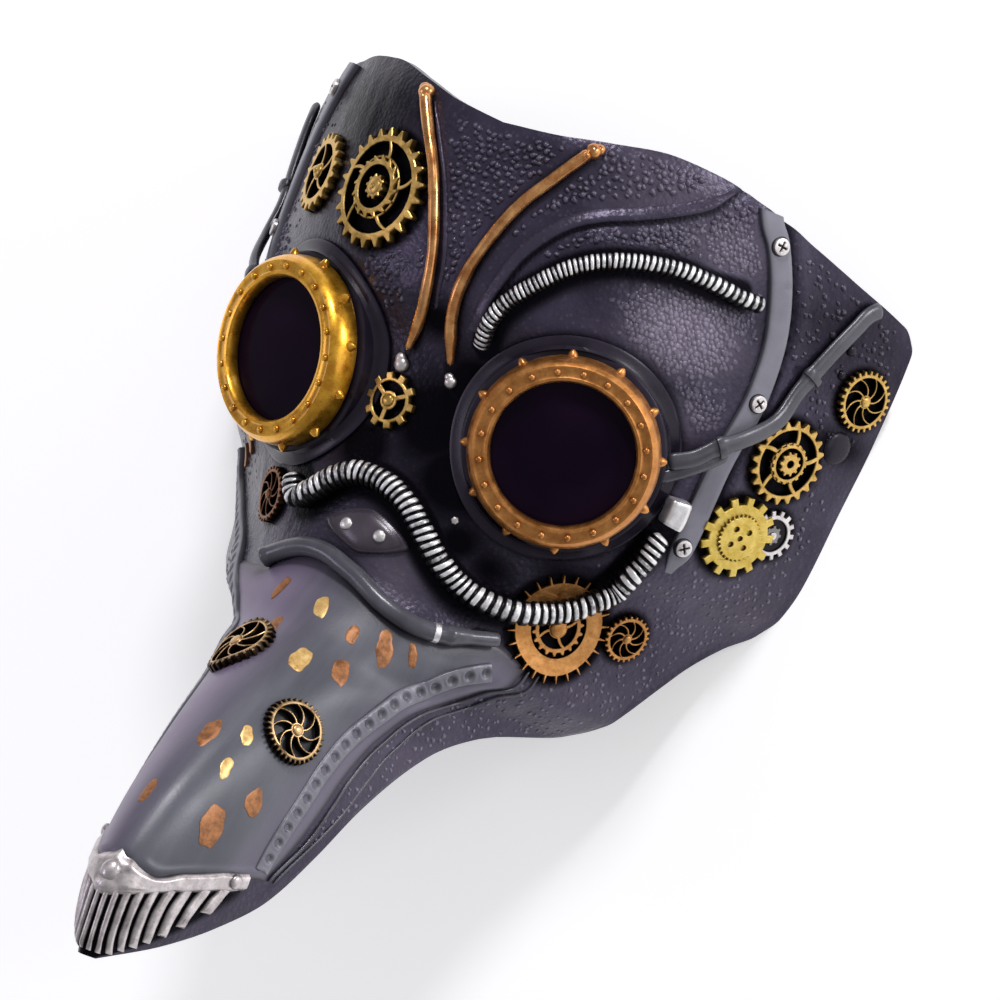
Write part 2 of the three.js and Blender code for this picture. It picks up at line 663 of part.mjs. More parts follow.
function ringGeometry() {
  const { bore, lip, face, outer, seat: seatRadius, height, lipHeight, chamfer } = RING;
  return turned([
    [bore, -lipHeight], [seatRadius, -lipHeight], [seatRadius, -height], [outer, -height],
    [outer, -chamfer], [face, 0], [lip, 0], [bore, -chamfer],
  ]);
}

function lensGeometry() {
  const { radius, front, back, bulge } = LENS;
  const halfway = [radius / 2, front + bulge * LENS_HALFWAY_SHARE];
  const profile = [[0, back], [radius, back], [radius, front], halfway, [0, front + bulge]];
  const points = profile.map(([r, height]) => new THREE.Vector2(r, height));
  const geometry = new THREE.LatheGeometry(points, GOGGLE_SIDES).rotateX(Math.PI / 2);
  return toGeometry(toSolid(geometry));
}

// The cup under a ring: its foot follows the skin
function cupGeometry(side) {
  const frame = goggleFrame(side);
  const sight = new THREE.Vector3().setFromMatrixColumn(frame, 2);
  const top = -RING.height - GAP;
  const circle = (radius, onFoot) => Array.from({ length: GOGGLE_SIDES }, (_, i) => {
    const angle = (2 * Math.PI * i) / GOGGLE_SIDES;
    const point = new THREE.Vector3(radius * Math.cos(angle), radius * Math.sin(angle), top);
    point.applyMatrix4(frame);
    return onFoot ? slideToSkin(point, sight).addScaledVector(sight, CUP.clear) : point;
  });
  const middle = (CUP.bore + CUP.foot) / 2;
  const upper = [circle(CUP.bore, false), circle(CUP.top, false)];
  const foot = [CUP.foot, middle, CUP.bore].map((radius) => circle(radius, true));
  const loops = [...upper, ...foot];
  const triangles = [];
  loops.forEach((_, loop) => {
    const [here, onward] = [loop * GOGGLE_SIDES, ((loop + 1) % loops.length) * GOGGLE_SIDES];
    for (let i = 0; i < GOGGLE_SIDES; i += 1) {
      const next = (i + 1) % GOGGLE_SIDES;
      triangles.push([here + i, here + next, onward + next], [here + i, onward + next, onward + i]);
    }
  });
  return closedGeometry(loops.flat(), triangles);
}

// A straight rod along the line of sight, wide enough for the eye hole or for the cup's foot
function sightRod(side, radius) {
  const rod = new THREE.CylinderGeometry(radius, radius, SIGHT_ROD_LENGTH, GOGGLE_SIDES).rotateX(Math.PI / 2);
  return toSolid(rod.applyMatrix4(goggleFrame(side)));
}

// The pale chevron with its comb of bars, as one cast piece
function tipCapSolid() {
  const tipSections = SECTIONS.filter(({ y }) => y <= TIP_WALL_FROM_Y);
  const end = CHEVRON_EDGES[CHEVRON_EDGES.length - 1].x;
  const edges = [];
  for (let i = 0; i < COMB.bars; i += 1) {
    const middle = COMB.first + i * COMB.pitch;
    const tip = along(tipSections, "half", "y", (middle + COMB.half) / COMB.reach);
    edges.push({ x: middle - COMB.half, tip, bar: true }, { x: middle + COMB.half, tip, bar: false });
  }
  const right = [{ x: 0, tip: 0, bar: false }, ...edges, { x: end, tip: 0, bar: false }];
  const left = edges.map(({ x, tip, bar }) => ({ x: -x, tip, bar: !bar })).reverse();
  const columns = [{ x: -end, tip: 0, bar: false }, ...left, ...right];
  const rowAt = (row, height) => columns.map(({ x, tip }) => {
    const [upper, lower] = ["upper", "lower"].map((edge) => along(CHEVRON_EDGES, "x", edge, Math.abs(x)));
    const y = row < 1 ? upper : lower + ((tip - lower) * (row - 1)) / COMB.cells;
    return onSkin(x, y, height);
  });
  const layer = (height) => Array.from({ length: COMB.cells + 2 }, (_, row) => rowAt(row, height));
  const hasCell = (row, column) => row === 0 || columns[column].bar;
  const floor = GAP + CHEVRON.lift;
  return toSolid(sheetGeometry(layer(floor + CHEVRON.thick), layer(floor), hasCell));
}

function noseCapSolid() {
  const { y, halfWidth, up, down, corner, edge, height, sides } = NOSE_CAP;
  const reach = (angle) => {
    const sideways = Math.abs(Math.cos(angle)) / halfWidth;
    const upright = Math.abs(Math.sin(angle)) / (Math.sin(angle) > 0 ? up : down);
    return (sideways ** corner + upright ** corner) ** (-1 / corner);
  };
  const rings = NOSE_CAP_RINGS.map(({ share, rise }) => ({ share, height: edge + (height - edge) * rise }));
  return domeSolid({ x: 0, y }, reach, rings, sides, rings.length);
}

const face = new THREE.Group();
face.position.set(-MIDDLE.x, -MIDDLE.y, 0);

function addPiece(name, geometry, finish, parent = face) {
  const mesh = new THREE.Mesh(geometry, new THREE.MeshStandardMaterial(FINISHES[finish]));
  mesh.name = name;
  parent.add(mesh);
}

const SIDES = [
  { word: "left", sign: -1 },
  { word: "right", sign: 1 },
];

// Shell and the beak's top panel
const eyeHoles = SIDES.map(({ sign }) => sightRod(sign, EYE_HOLE_RADIUS));
const shell = eyeHoles.reduce((sum, hole) => sum.subtract(hole), shellSolid());
addPiece("face_shell", toGeometry(shell.subtract(prism(beakPanelOutline(GAP / 2)))), "leather");
addPiece("beak_plate", toGeometry(shell.intersect(prism(beakPanelOutline(-GAP / 2)))), "beak");

// Goggles, straps, bands and strips on both sides
for (const { word, sign } of SIDES) {
  const onSide = (path) => (sign < 0 ? mirrored(path) : path);
  const goggle = new THREE.Group();
  goggle.applyMatrix4(goggleFrame(sign));
  face.add(goggle);
  addPiece(`goggle_cup_${word}`, cupGeometry(sign), "bronze");
  addPiece(`goggle_ring_${word}`, ringGeometry(), sign < 0 ? "brass" : "copper", goggle);
  addPiece(`goggle_lens_${word}`, lensGeometry(), "glass", goggle);
  addPiece(`brow_rod_${word}`, layAlong(onSide(BROW_ROD), tubeProfile(ROD), ROD.steps), "copper");
  const band = layAlong(onSide(TEMPLE_BAND), strapProfile(BAND), BAND.steps);
  addPiece(`temple_band_${word}`, band, "steel");
  const strap = layAlong(onSide(GOGGLE_STRAP), strapProfile(STRAP), STRAP.steps);
  addPiece(`goggle_strap_${word}`, strap, "steel");
  const stripPath = sign < 0 ? [...CHEEK_STRIP, ...BEAK_STRIP] : BEAK_STRIP;
  addPiece(`beak_strip_${word}`, layAlong(onSide(stripPath), strapProfile(STRIP), STRIP.steps), "steel");
  const bridgeRivet = { ...BRIDGE_RIVET, x: sign * BRIDGE_RIVET.x };
  addPiece(`bridge_rivet_${word}`, toGeometry(buttonSolid(bridgeRivet, SCREW)), "copper");
  const capScrew = { x: sign * NOSE_CAP.screwX, y: NOSE_CAP.y, lift: NOSE_CAP.height + GAP };
  addPiece(`cap_screw_${word}`, toGeometry(buttonSolid(capScrew, SMALL_SCREW)), "steel");
  onSide(BAND_SCREWS).forEach((place, i) => {
    const onBand = { ...place, lift: BAND.thick + GAP };
    addPiece(`band_screw_${word}_${i + 1}`, toGeometry(buttonSolid(onBand, SCREW)), "silver");
  });
}

// Hoses, pipe, nose cap and tip
addPiece("brow_hose", layAlong(BROW_HOSE, tubeProfile(BROW_TUBE), BROW_TUBE.steps), "rubber");
addPiece("nose_hose", layAlong(NOSE_HOSE, tubeProfile(NOSE_TUBE), NOSE_TUBE.steps), "rubber");
addPiece("hose_clip", layAlong(HOSE_CLIP, tubeProfile(CLIP_TUBE), CLIP_TUBE.steps), "silver");
addPiece("root_pipe", layAlong(ROOT_PIPE, tubeProfile(PIPE_TUBE), PIPE_TUBE.steps), "bronze");
addPiece("nose_cap", toGeometry(noseCapSolid()), "silver");
addPiece("tip_cap", toGeometry(tipCapSolid()), "silver");
const onChevron = CHEVRON.lift + CHEVRON.thick + GAP;
addPiece("tip_boss", toGeometry(buttonSolid({ ...TIP_BOSS, lift: onChevron }, TIP_BOSS)), "silver");
for (const { word, sign } of SIDES) {
  const place = { x: sign * TIP_RIVET.x, y: TIP_RIVET.y, lift: onChevron };
  addPiece(`tip_rivet_${word}`, toGeometry(buttonSolid(place, TIP_RIVET)), "silver");
}

// Gears, each cut back where a neighbour lies over it
const gearNamed = (name) => GEARS.find((gear) => gear.name === name);
const TRIMS = {
  gear_nose: sightRod(-1, CUP.foot + GAP),
  gear_temple_double: clearance(GOGGLE_STRAP, STRAP.half, STRAP.steps),
  gear_temple_plate: clearance(TEMPLE_BAND, BAND.half, BAND.steps),
  gear_temple_silver: gearRoom(gearNamed("gear_temple_plate")),
  gear_cheek_ring: gearRoom(gearNamed("gear_cheek_small")),
};
for (const gear of GEARS) {
  const whole = gearSolid(gear);
  const trim = TRIMS[gear.name];
  addPiece(gear.name, toGeometry(trim ? whole.subtract(trim) : whole), gear.finish);
}

const mask = new THREE.Group();
mask.add(face);

export default mask;
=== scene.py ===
import math

import bmesh
import bpy
import numpy as np
from mathutils import Matrix, Vector
from mathutils.geometry import tessellate_polygon


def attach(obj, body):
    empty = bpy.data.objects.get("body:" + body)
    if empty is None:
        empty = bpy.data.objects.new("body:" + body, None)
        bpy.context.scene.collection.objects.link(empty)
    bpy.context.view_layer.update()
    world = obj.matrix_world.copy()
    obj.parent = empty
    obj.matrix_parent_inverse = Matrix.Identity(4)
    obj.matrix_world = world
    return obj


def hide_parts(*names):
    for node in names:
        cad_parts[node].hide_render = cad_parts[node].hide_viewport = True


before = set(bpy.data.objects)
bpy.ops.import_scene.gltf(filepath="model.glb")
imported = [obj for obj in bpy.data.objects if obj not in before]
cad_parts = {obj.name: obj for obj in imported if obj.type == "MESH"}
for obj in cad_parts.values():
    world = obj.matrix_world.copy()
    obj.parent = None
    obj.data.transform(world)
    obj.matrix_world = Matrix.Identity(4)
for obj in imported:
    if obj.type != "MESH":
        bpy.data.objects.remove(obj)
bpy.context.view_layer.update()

# Points below are millimetres in the face's own frame: y counts from the bridge of the nose, z from the rim
MM = 0.001
MIDDLE = np.array([0.385, -48.71, 0.0])
TURN = 2 * math.pi
SIDES = (("left", -1), ("right", 1))
GAP = 0.4
WALL = 2.5
RIM_WALL = 2.9
TIP_Y = -166.0
INNER_TIP_Y = -163.5
TIP_WALL_FROM_Y = -140.0
TOP_BEND_FROM_Y = 8.0

# Columns: y, height of the middle, half width, height of the rim, squareness of the arch
SECTIONS = np.array([
    (72, 80, 88.5, 0, 2.3), (60, 84, 89.2, 0, 2.3), (43, 84, 90.4, 0, 2.3), (20, 82, 89.2, 0, 2.5),
    (0, 75, 87, 0, 2.8), (-20, 73, 84.8, 0, 2.6), (-30, 73.3, 82, 0, 2.4), (-36, 73.8, 77.6, 0, 2.25),
    (-42, 74.4, 72.6, 5.4, 2.1), (-50, 75.2, 67.4, 10.8, 2), (-56, 76, 64.5, 14.2, 2),
    (-69, 84, 58.2, 21, 2), (-73, 87, 53.6, 21.5, 2), (-77, 91, 47.4, 23, 2), (-84, 98.5, 37.6, 47, 2),
    (-93, 108, 31.5, 61, 2), (-110, 123, 27.5, 78, 2), (-126, 134.5, 25, 89.5, 2),
    (-140, 141.5, 21.5, 99.5, 2), (-150, 143.5, 17.2, 113, 2), (-158, 143, 11.5, 125.5, 2),
    (TIP_Y, 142, 2.5, 139.5, 2),
])
# Columns: x, y of the top edge
TOP_EDGE = np.array([
    (0, 61.8), (14, 63.3), (27, 66.2), (41, 68.8), (50, 68.2), (60, 65.4), (70, 60.5), (80, 54.7),
    (86, 50.9), (89, 48.2), (90.4, 43.5),
])
TOP_Y = TOP_EDGE[0, 1]
SOCKET = {"x": 38.0, "y": -9.0, "reach": 36.0, "depth": 6.0}
EYE = {"x": 42.7, "y": -10.8, "z": 74.0, "splay": 24.5, "droop": 10.0, "hole": 19.6}

# Paths on the skin. Columns: x, y, extra height
BROW_ROD = ((23.6, 62), (18, 53), (13, 45), (8.6, 35), (5.2, 24), (4.2, 13), (6.2, 0.6))
BROW_HOSE = (
    (13.2, 8.1), (14.3, 14.2), (17.5, 20.5), (22.5, 26.8), (28.1, 33), (34.1, 37.5), (41.7, 40.9),
    (49.3, 42.6), (56.2, 42.4), (61.6, 42.9),
)
NOSE_HOSE = (
    (-25.4, -38.6), (-21.4, -43.3), (-17.4, -40.8), (-12, -35.5), (-6.6, -32.7), (1.1, -32.8), (8.7, -36),
    (13.6, -40.5), (19.4, -46.2), (25.5, -50.5), (31.2, -51.8, 1.4), (36.8, -51.1, 2.3), (42, -47.6, 2.3),
    (47.8, -42.4, 2.3), (53.6, -35.2, 1.4), (57.6, -27.2, 1.2), (59.6, -20, 1),
)
TEMPLE_BAND = (
    (62.2, 61.5), (64.2, 57.6), (67.5, 47.4), (69.7, 35.3), (70.2, 23.6), (69.8, 15.5), (67.6, 1.2),
    (66.2, -10.3), (65, -20.6), (63.6, -28),
)
GOGGLE_STRAP = (
    (61.6, 0.8, 3.2), (65, 5.2, 3.2), (69, 9.6, 3.2), (73.4, 16, 1.6), (75.8, 25.4), (78.5, 36.6),
    (80.8, 45.4), (81.8, 49.4),
)
ROOT_PIPE = (
    (-24.4, -62.4), (-21.1, -59.6), (-14.3, -55.3), (-6.7, -54.5), (2, -57.4), (11.6, -62.1),
    (19.4, -64.3), (24.8, -64.2), (30.9, -62.1), (35.9, -59.9),
)
CHEEK_STRIP = ((66.5, -37.5, 0.4), (62, -46, 0.4), (53, -53.5, 0.4), (44.5, -60, 0.4))
BEAK_STRIP = (
    (37.5, -67.8, 0.4), (31.8, -72.1, 0.4), (26, -79.3, 0.4), (23.5, -86.3, 0.4), (21.6, -94.1),
    (20.9, -103.3), (20.8, -113), (20.5, -123.1), (20.2, -129.5),
)
BEAK_SEAM = (
    (43, -64), (41.5, -69.5), (36.4, -73.4), (30.4, -79.6), (26.6, -87.3), (24.6, -95.3), (23.8, -104.5),
    (23.5, -113.3), (22.8, -123.2), (20.9, -135),
)
SEAM_END = (19.0, -142.5)
BROW_LIP = (
    (54.3, 66.9), (51.2, 60.1), (46.1, 55.5), (39, 51), (31.2, 47), (25.5, 42.8), (21.1, 37.6),
    (16.9, 30.7), (14.2, 23.1), (12.4, 16.4), (11.5, 10.3),
)

# The runs of the visible pieces, which end a little before or beyond the paths above
BROW_HOSE_RUN = BROW_HOSE[:-1] + ((61.6, 41.6), (65.2, 41.8))
CLIP_RUN = ((60.4, -17.4, 1), (60.9, -14.6, 1), (61.3, -10, 1))
BAND_RUN = ((61.0, 64.3),) + TEMPLE_BAND + ((63.2, -30.0),)
STRAP_RUN = ((57.4, -2.2, 3.0),) + GOGGLE_STRAP + ((83.2, 52.0),)
STRAP_TAIL = ((56.2, -7.0, 2.6), (60.6, -3.2, 2.6), (64.6, 1.2, 2.8), (67.0, 4.6, 3.0))
STRIP_RUN = BEAK_STRIP + ((20.0, -132.8),)
LIP_RUN = ((53.7, 65.2),) + BROW_LIP[1:]

# Columns: x, upper y, lower y of the chevron
CHEVRON = np.array([
    (0, -139, -150.6), (3.6, -140.8, -149.2), (7.6, -142.2, -146.8), (12, -139, -143.8), (16, -136.2, -141),
    (18.8, -134, -138.6),
])
CHEVRON_HALF, CHEVRON_END_Y, _ = CHEVRON[-1]

# Columns: node, x, y, outer radius
GEAR_PLACES = {
    "gear_brow_small": (-52.8, 35.3, 10.5), "gear_brow_large": (-27.6, 36.0, 15.6),
    "gear_nose": (-6.8, -12.9, 7.2), "gear_cheek_fan": (-34.8, -45.3, 7.2),
    "gear_beak_side": (-12.6, -83.7, 9.6), "gear_beak_top": (13.6, -98.4, 8.4),
    "gear_temple_fan": (85.5, 28.9, 8.0), "gear_temple_double": (77.4, 7.6, 11.0),
    "gear_temple_plate": (73.0, -14.2, 10.6), "gear_temple_silver": (78.2, -10.8, 6.6),
    "gear_cheek_ring": (45.1, -51.6, 14.0), "gear_cheek_small": (56.6, -47.8, 6.2),
}


def unit(vectors):
    vectors = np.asarray(vectors, float)
    return vectors / np.maximum(np.linalg.norm(vectors, axis=-1, keepdims=True), 1e-9)


def ease(low, high, value):
    """0 at low, 1 at high, level beyond both and smooth between. It falls where low is above high."""
    t = np.clip((np.asarray(value, float) - low) / (high - low), 0, 1)
    return t * t * (3 - 2 * t)


def bell(distance, width):
    return np.exp(-np.square(np.asarray(distance, float) / width))


def around(sides):
    """Even angles round a circle."""
    return np.arange(sides) * TURN / sides


def lengths(points):
    """Length along a line of points, up to each of them."""
    return np.concatenate([[0], np.cumsum(np.linalg.norm(np.diff(points, axis=0), axis=1))])


def cubic(t, start, end, leave, arrive):
    """A curve from start to end that leaves and arrives with the slopes given."""
    rising = 3 * t**2 - 2 * t**3
    bent = (t**3 - 2 * t**2 + t) * leave + (t**3 - t**2) * arrive
    return start * (1 - rising) + end * rising + bent


def smooth_table(keys, values):
    """A curve through a table's rows that never overshoots them."""
    order = np.argsort(keys)
    key = np.asarray(keys, float)[order]
    value = np.asarray(values, float)[order]
    span = np.diff(key)
    rise = np.diff(value) / span
    same_way = rise[:-1] * rise[1:] > 0
    total = np.where(same_way, rise[:-1] + rise[1:], 1)
    inner = np.where(same_way, 2 * rise[:-1] * rise[1:] / total, 0)
    slope = np.concatenate([rise[:1], inner, rise[-1:]])

    def look_up(at):
        x = np.clip(at, key[0], key[-1])
        i = np.clip(np.searchsorted(key, x) - 1, 0, len(span) - 1)
        t = (x - key[i]) / span[i]
        return cubic(t, value[i], value[i + 1], slope[i] * span[i], slope[i + 1] * span[i])

    return look_up


crown_at, half_at, rim_at, power_at = (smooth_table(SECTIONS[:, 0], SECTIONS[:, k]) for k in range(1, 5))
top_edge_at = smooth_table(TOP_EDGE[:, 0], TOP_EDGE[:, 1])
chevron_top_at, chevron_low_at = (smooth_table(CHEVRON[:, 0], CHEVRON[:, k]) for k in (1, 2))
seam_at = smooth_table(*zip(*((y, x) for x, y in BEAK_SEAM + (SEAM_END,))))


def socket_dent(x, y):
    away = np.hypot(np.abs(x) - SOCKET["x"], y - SOCKET["y"]) / SOCKET["reach"]
    return np.where(away < 1, SOCKET["depth"] * (1 - np.minimum(away, 1) ** 2) ** 2, 0)


def arch(share, y, crown):
    rim = rim_at(y)
    return rim + (crown - rim) * (1 - np.abs(share) ** power_at(y))


def skin(x, y):
    """Height of the mask's outer side."""
    return arch(x / half_at(y), y, crown_at(y)) - socket_dent(x, y)


def skin_slope(x, y, step=0.4):
    along_x = (skin(x + step, y) - skin(x - step, y)) / (2 * step)
    along_y = (skin(x, y + step) - skin(x, y - step)) / (2 * step)
    return along_x, along_y


def skin_normal(x, y):
    along_x, along_y = skin_slope(x, y)
    return unit(np.stack([-along_x, -along_y, np.ones_like(along_x)], axis=-1))


def on_skin(x, y, height=0.0):
    x, y = np.broadcast_arrays(np.asarray(x, float), np.asarray(y, float))
    height = np.broadcast_to(np.asarray(height, float), x.shape)
    return np.stack([x, y, skin(x, y)], axis=-1) + skin_normal(x, y) * height[..., None]


def slide_to_skin(points, direction, rounds=14):
    found = np.array(points, float)
    for _ in range(rounds):
        along_x, along_y = skin_slope(found[..., 0], found[..., 1])
        rate = direction[2] - along_x * direction[0] - along_y * direction[1]
        gap = skin(found[..., 0], found[..., 1]) - found[..., 2]
        found = found + (gap / rate)[..., None] * direction
    return found


def seat(x, y):
    """A frame on the skin. Its place() takes points across, along and up, and follows the skin."""
    middle = on_skin(x, y)
    up = skin_normal(np.float64(x), np.float64(y))
    across = unit(np.array([1.0, 0, 0]) - up * up[0])
    forward = np.cross(up, across)

    def place(local):
        local = np.asarray(local, float).reshape(-1, 3)
        start = middle + local[:, :1] * across + local[:, 1:2] * forward
        return slide_to_skin(start, up) + local[:, 2:] * up

    return place


def spaced_curve(knots, count, per_knot=40):
    """Evenly spaced points on a smooth curve through the knots, each with its extra height."""
    full = np.array([tuple(knot) + (0.0,) * (3 - len(knot)) for knot in knots], float)
    full = np.vstack([2 * full[0] - full[1], full, 2 * full[-1] - full[-2]])
    t = np.linspace(0, 1, per_knot, endpoint=False)[:, None]
    dense = []
    for before, start, end, after in zip(full, full[1:], full[2:], full[3:]):
        d0, d1, d2 = (math.sqrt(np.linalg.norm(run)) for run in (start - before, end - start, after - end))
        leave = ((start - before) / d0 - (end - before) / (d0 + d1) + (end - start) / d1) * d1
        arrive = ((end - start) / d1 - (after - start) / (d1 + d2) + (after - end) / d2) * d1
        dense.append(cubic(t, start, end, leave, arrive))
    dense = np.vstack(dense + [full[-2:-1]])
    length = lengths(dense)
    even = np.linspace(0, length[-1], count)
    return np.stack([np.interp(even, length, dense[:, k]) for k in range(3)], axis=1)


class Line:
    """A path laid on the skin: its points, and the directions across, up and ahead at each."""

    def __init__(self, knots, count, side=1, lift=GAP):
        plan = spaced_curve(knots, count) * (side, 1, 1)
        self.centre = on_skin(plan[:, 0], plan[:, 1], lift + plan[:, 2])
        self.ahead = unit(np.gradient(self.centre, axis=0))
        self.across = unit(np.cross(self.ahead, skin_normal(plan[:, 0], plan[:, 1])))
        self.up = np.cross(self.across, self.ahead)
        self.along = lengths(self.centre)
        self.to_go = self.along[-1] - self.along

    def rings(self, across, up):
        """A cross section at every point: arrays of one row for each point."""
        return (self.centre[:, None] + across[..., None] * self.across[:, None]
                + up[..., None] * self.up[:, None])

    def ring(self, i, step, across, up):
        """One cross section, a step ahead of a point."""
        return (self.centre[i] + self.ahead[i] * step + across[:, None] * self.across[i]
                + up[:, None] * self.up[i])

    def rounded(self, reach, least=0.0004):
        """Share of a tube's radius at each point, so that its ends close in domes."""
        from_end = np.clip(np.minimum(self.along, self.to_go) / reach, 0, 1)
        return np.sqrt(np.clip(1 - np.square(1 - from_end), least, 1))

    def near(self, points):
        """How far each given point is from the line, and how far to the right of it."""
        best = np.full(len(points), np.inf)
        right = np.zeros(len(points))
        for i in range(len(self.centre) - 1):
            run = self.centre[i + 1] - self.centre[i]
            t = np.clip((points - self.centre[i]) @ run / (run @ run), 0, 1)
            off = points - self.centre[i] - t[:, None] * run
            away = np.linalg.norm(off, axis=1)
            closer = away < best
            best[closer] = away[closer]
            right[closer] = off[closer] @ self.across[i]
        return best, right


# Factors that scatter whole numbers into even noise
SCATTER = {"i": 127.1, "j": 311.7, "seed": 74.7, "spread": 43758.5453}


def lattice(i, j, seed):
    wave = np.sin(i * SCATTER["i"] + j * SCATTER["j"] + seed * SCATTER["seed"]) * SCATTER["spread"]
    return wave - np.floor(wave)


def soft_noise(u, v, seed):
    """Smooth noise from 0 to 1, one bump to each unit."""
    i, j = np.floor(u), np.floor(v)
    a, b = ease(0, 1, u - i), ease(0, 1, v - j)
    low = lattice(i, j, seed) * (1 - a) + lattice(i + 1, j, seed) * a
    high = lattice(i, j + 1, seed) * (1 - a) + lattice(i + 1, j + 1, seed) * a
    return low * (1 - b) + high * b


def swing(u, v, seed):
    """The same noise from -0.5 to 0.5."""
    return soft_noise(u, v, seed) - 0.5


class Piece:
    """Gathers points, faces and each point's shade: 0 is darkest painted shade, 1 is lit or worn bright."""

    def __init__(self):
        self.points = []
        self.faces = []
        self.shades = []
        self.count = 0

    def add(self, points, faces, shade=1.0):
        points = np.asarray(points, float).reshape(-1, 3)
        self.points.append(points)
        self.faces.extend([[index + self.count for index in face] for face in faces])
        self.shades.append(np.broadcast_to(np.asarray(shade, float).ravel(), (len(points),)))
        self.count += len(points)


def make(piece, name, look, node=None, sharp=38, layers=None):
    """Turns a gathered piece into an object that rides on the mask, in place of the node named."""
    points = np.vstack(piece.points)
    mesh = bpy.data.meshes.new(name)
    mesh.from_pydata(((points - MIDDLE) * MM).tolist(), [], piece.faces)
    columns = {"shade": np.concatenate(piece.shades), **(layers or {})}
    for title, values in columns.items():
        column = mesh.attributes.new(title, "FLOAT", "POINT")
        column.data.foreach_set("value", np.ascontiguousarray(values, np.float32))
    work = bmesh.new()
    work.from_mesh(mesh)
    loose = [vert for vert in work.verts if not vert.link_faces]
    bmesh.ops.delete(work, geom=loose, context="VERTS")
    bmesh.ops.recalc_face_normals(work, faces=work.faces)
    work.to_mesh(mesh)
    work.free()
    mesh.polygons.foreach_set("use_smooth", [True] * len(mesh.polygons))
    mesh.set_sharp_from_angle(angle=math.radians(sharp))
    mesh.materials.append(LOOKS[look])
    thing = bpy.data.objects.new(name, mesh)
    bpy.context.scene.collection.objects.link(thing)
    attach(thing, "root")
    if node:
        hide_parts(node)


def loft(rings, caps=True):
    """Faces that join rings of points one to the next."""
    count, sides = rings.shape[:2]
    faces = []
    for ring in range(count - 1):
        for side in range(sides):
            a, b = ring * sides + side, ring * sides + (side + 1) % sides
            faces.append((a, b, b + sides, a + sides))
    if caps:
        faces.append(tuple(range(sides)))
        faces.append(tuple(range((count - 1) * sides, count * sides)))
    return faces


def grid_faces(index):
    """Faces between the points of a grid."""
    return np.stack([index[:-1, :-1], index[1:, :-1], index[1:, 1:], index[:-1, 1:]], axis=-1).reshape(-1, 4)


def sheet(piece, top, bottom, shade=1.0, under=0.3):
    """A closed sheet between an upper and a lower grid of points. The lower side has a share of the shade."""
    rows, columns = top.shape[:2]
    inside = rows * columns
    index = np.arange(inside).reshape(rows, columns)
    upper = grid_faces(index)
    loop = np.concatenate([index[0], index[1:, -1], index[-1, -2::-1], index[-2:0:-1, 0]])
    onward = np.roll(loop, -1)
    edge = np.stack([loop, onward, inside + onward, inside + loop], axis=1)
    faces = np.concatenate([upper, inside + upper[:, ::-1], edge]).tolist()
    both = np.concatenate([top.reshape(-1, 3), bottom.reshape(-1, 3)])
    shade = np.broadcast_to(np.asarray(shade, float), (rows, columns)).ravel()
    piece.add(both, faces, np.concatenate([shade, shade * under]))


def tube(piece, line, radius, sides, base, shade=1.0, flatten=1.0):
    """A tube with its axis above the line. The radius is given for each point, or for each point and side."""
    angle = around(sides)
    full = np.broadcast_to(radius if radius.ndim == 2 else radius[:, None], (len(line.centre), sides))
    rings = line.rings(full * np.cos(angle), flatten * (base + full * np.sin(angle)))
    piece.add(rings, loft(rings), np.broadcast_to(shade, full.shape))


def collar(piece, line, i, profile, radius, base, flatten, shade):
    """A ring round a tube. The profile's rows are a step along the line and a share of the radius."""
    angle = around(len(shade))
    rings = np.array([
        line.ring(i, step, radius * share * np.cos(angle), flatten * (base + radius * share * np.sin(angle)))
        for step, share in profile])
    piece.add(rings, loft(rings), np.tile(shade, len(profile)))


def offset_loop(loop, amount, sharpest=0.55):
    """Moves each point of a closed loop to its left."""
    into = unit(loop - np.roll(loop, 1, axis=0))
    out = unit(np.roll(loop, -1, axis=0) - loop)
    left_in = np.stack([-into[:, 1], into[:, 0]], axis=1)
    left_out = np.stack([-out[:, 1], out[:, 0]], axis=1)
    middle = unit(left_in + left_out)
    reach = np.clip(np.sum(middle * left_in, axis=1, keepdims=True), sharpest, 1)
    return loop + middle * amount / reach


def plate(piece, place, outline, holes, floor, top, bevel=0.22, shade=1.0, tooth=None):
    """A flat plate with bevelled edges. The outline runs anticlockwise and the holes clockwise."""
    loops = [np.asarray(loop, float) for loop in (outline, *holes)]
    insets = [offset_loop(loop, bevel) for loop in loops]
    tooth = shade if tooth is None else tooth
    points, faces, shades, flat_index, under_index = [], [], [], [], []
    count = 0
    for loop, inset in zip(loops, insets):
        sides = len(loop)
        for flat, height in ((loop, floor), (loop, top - bevel), (inset, top)):
            points.append(np.column_stack([flat, np.full(sides, height)]))
        walls = loft(np.empty((3, sides)), caps=False)
        faces.extend(tuple(count + index for index in face) for face in walls)
        # Painted shade on the walls, darkest at the floor, darker in holes than round the outline
        shades.append(np.repeat((0.0, 0.12 * shade, shade) if count else (0.0, 0.5 * tooth, tooth), sides))
        under_index.extend(range(count, count + sides))
        flat_index.extend(range(count + 2 * sides, count + 3 * sides))
        count += 3 * sides
    for level_loops, index in ((insets, flat_index), (loops, under_index)):
        polygons = [[Vector((x, y, 0)) for x, y in loop] for loop in level_loops]
        faces.extend(tuple(index[i] for i in triangle) for triangle in tessellate_polygon(polygons))
    piece.add(place(np.vstack(points)), faces, np.concatenate(shades))


def circle(radius, sides):
    angle = around(sides)
    return radius * np.column_stack([np.cos(angle), np.sin(angle)])


def hole(radius, sides, x=0.0, y=0.0):
    """A round opening for a plate."""
    return circle(radius, sides)[::-1] + (x, y)


def stacked(piece, place, outline, profile, at=(0.0, 0.0), caps=True):
    """Joins copies of a flat outline. The profile's rows are a share of the outline, a height and a shade."""
    sides = len(outline)
    rings = np.array([
        np.column_stack([outline * share + at, np.full(sides, height)]) for share, height, _ in profile])
    piece.add(place(rings), loft(rings, caps), np.repeat([shade for *_, shade in profile], sides))


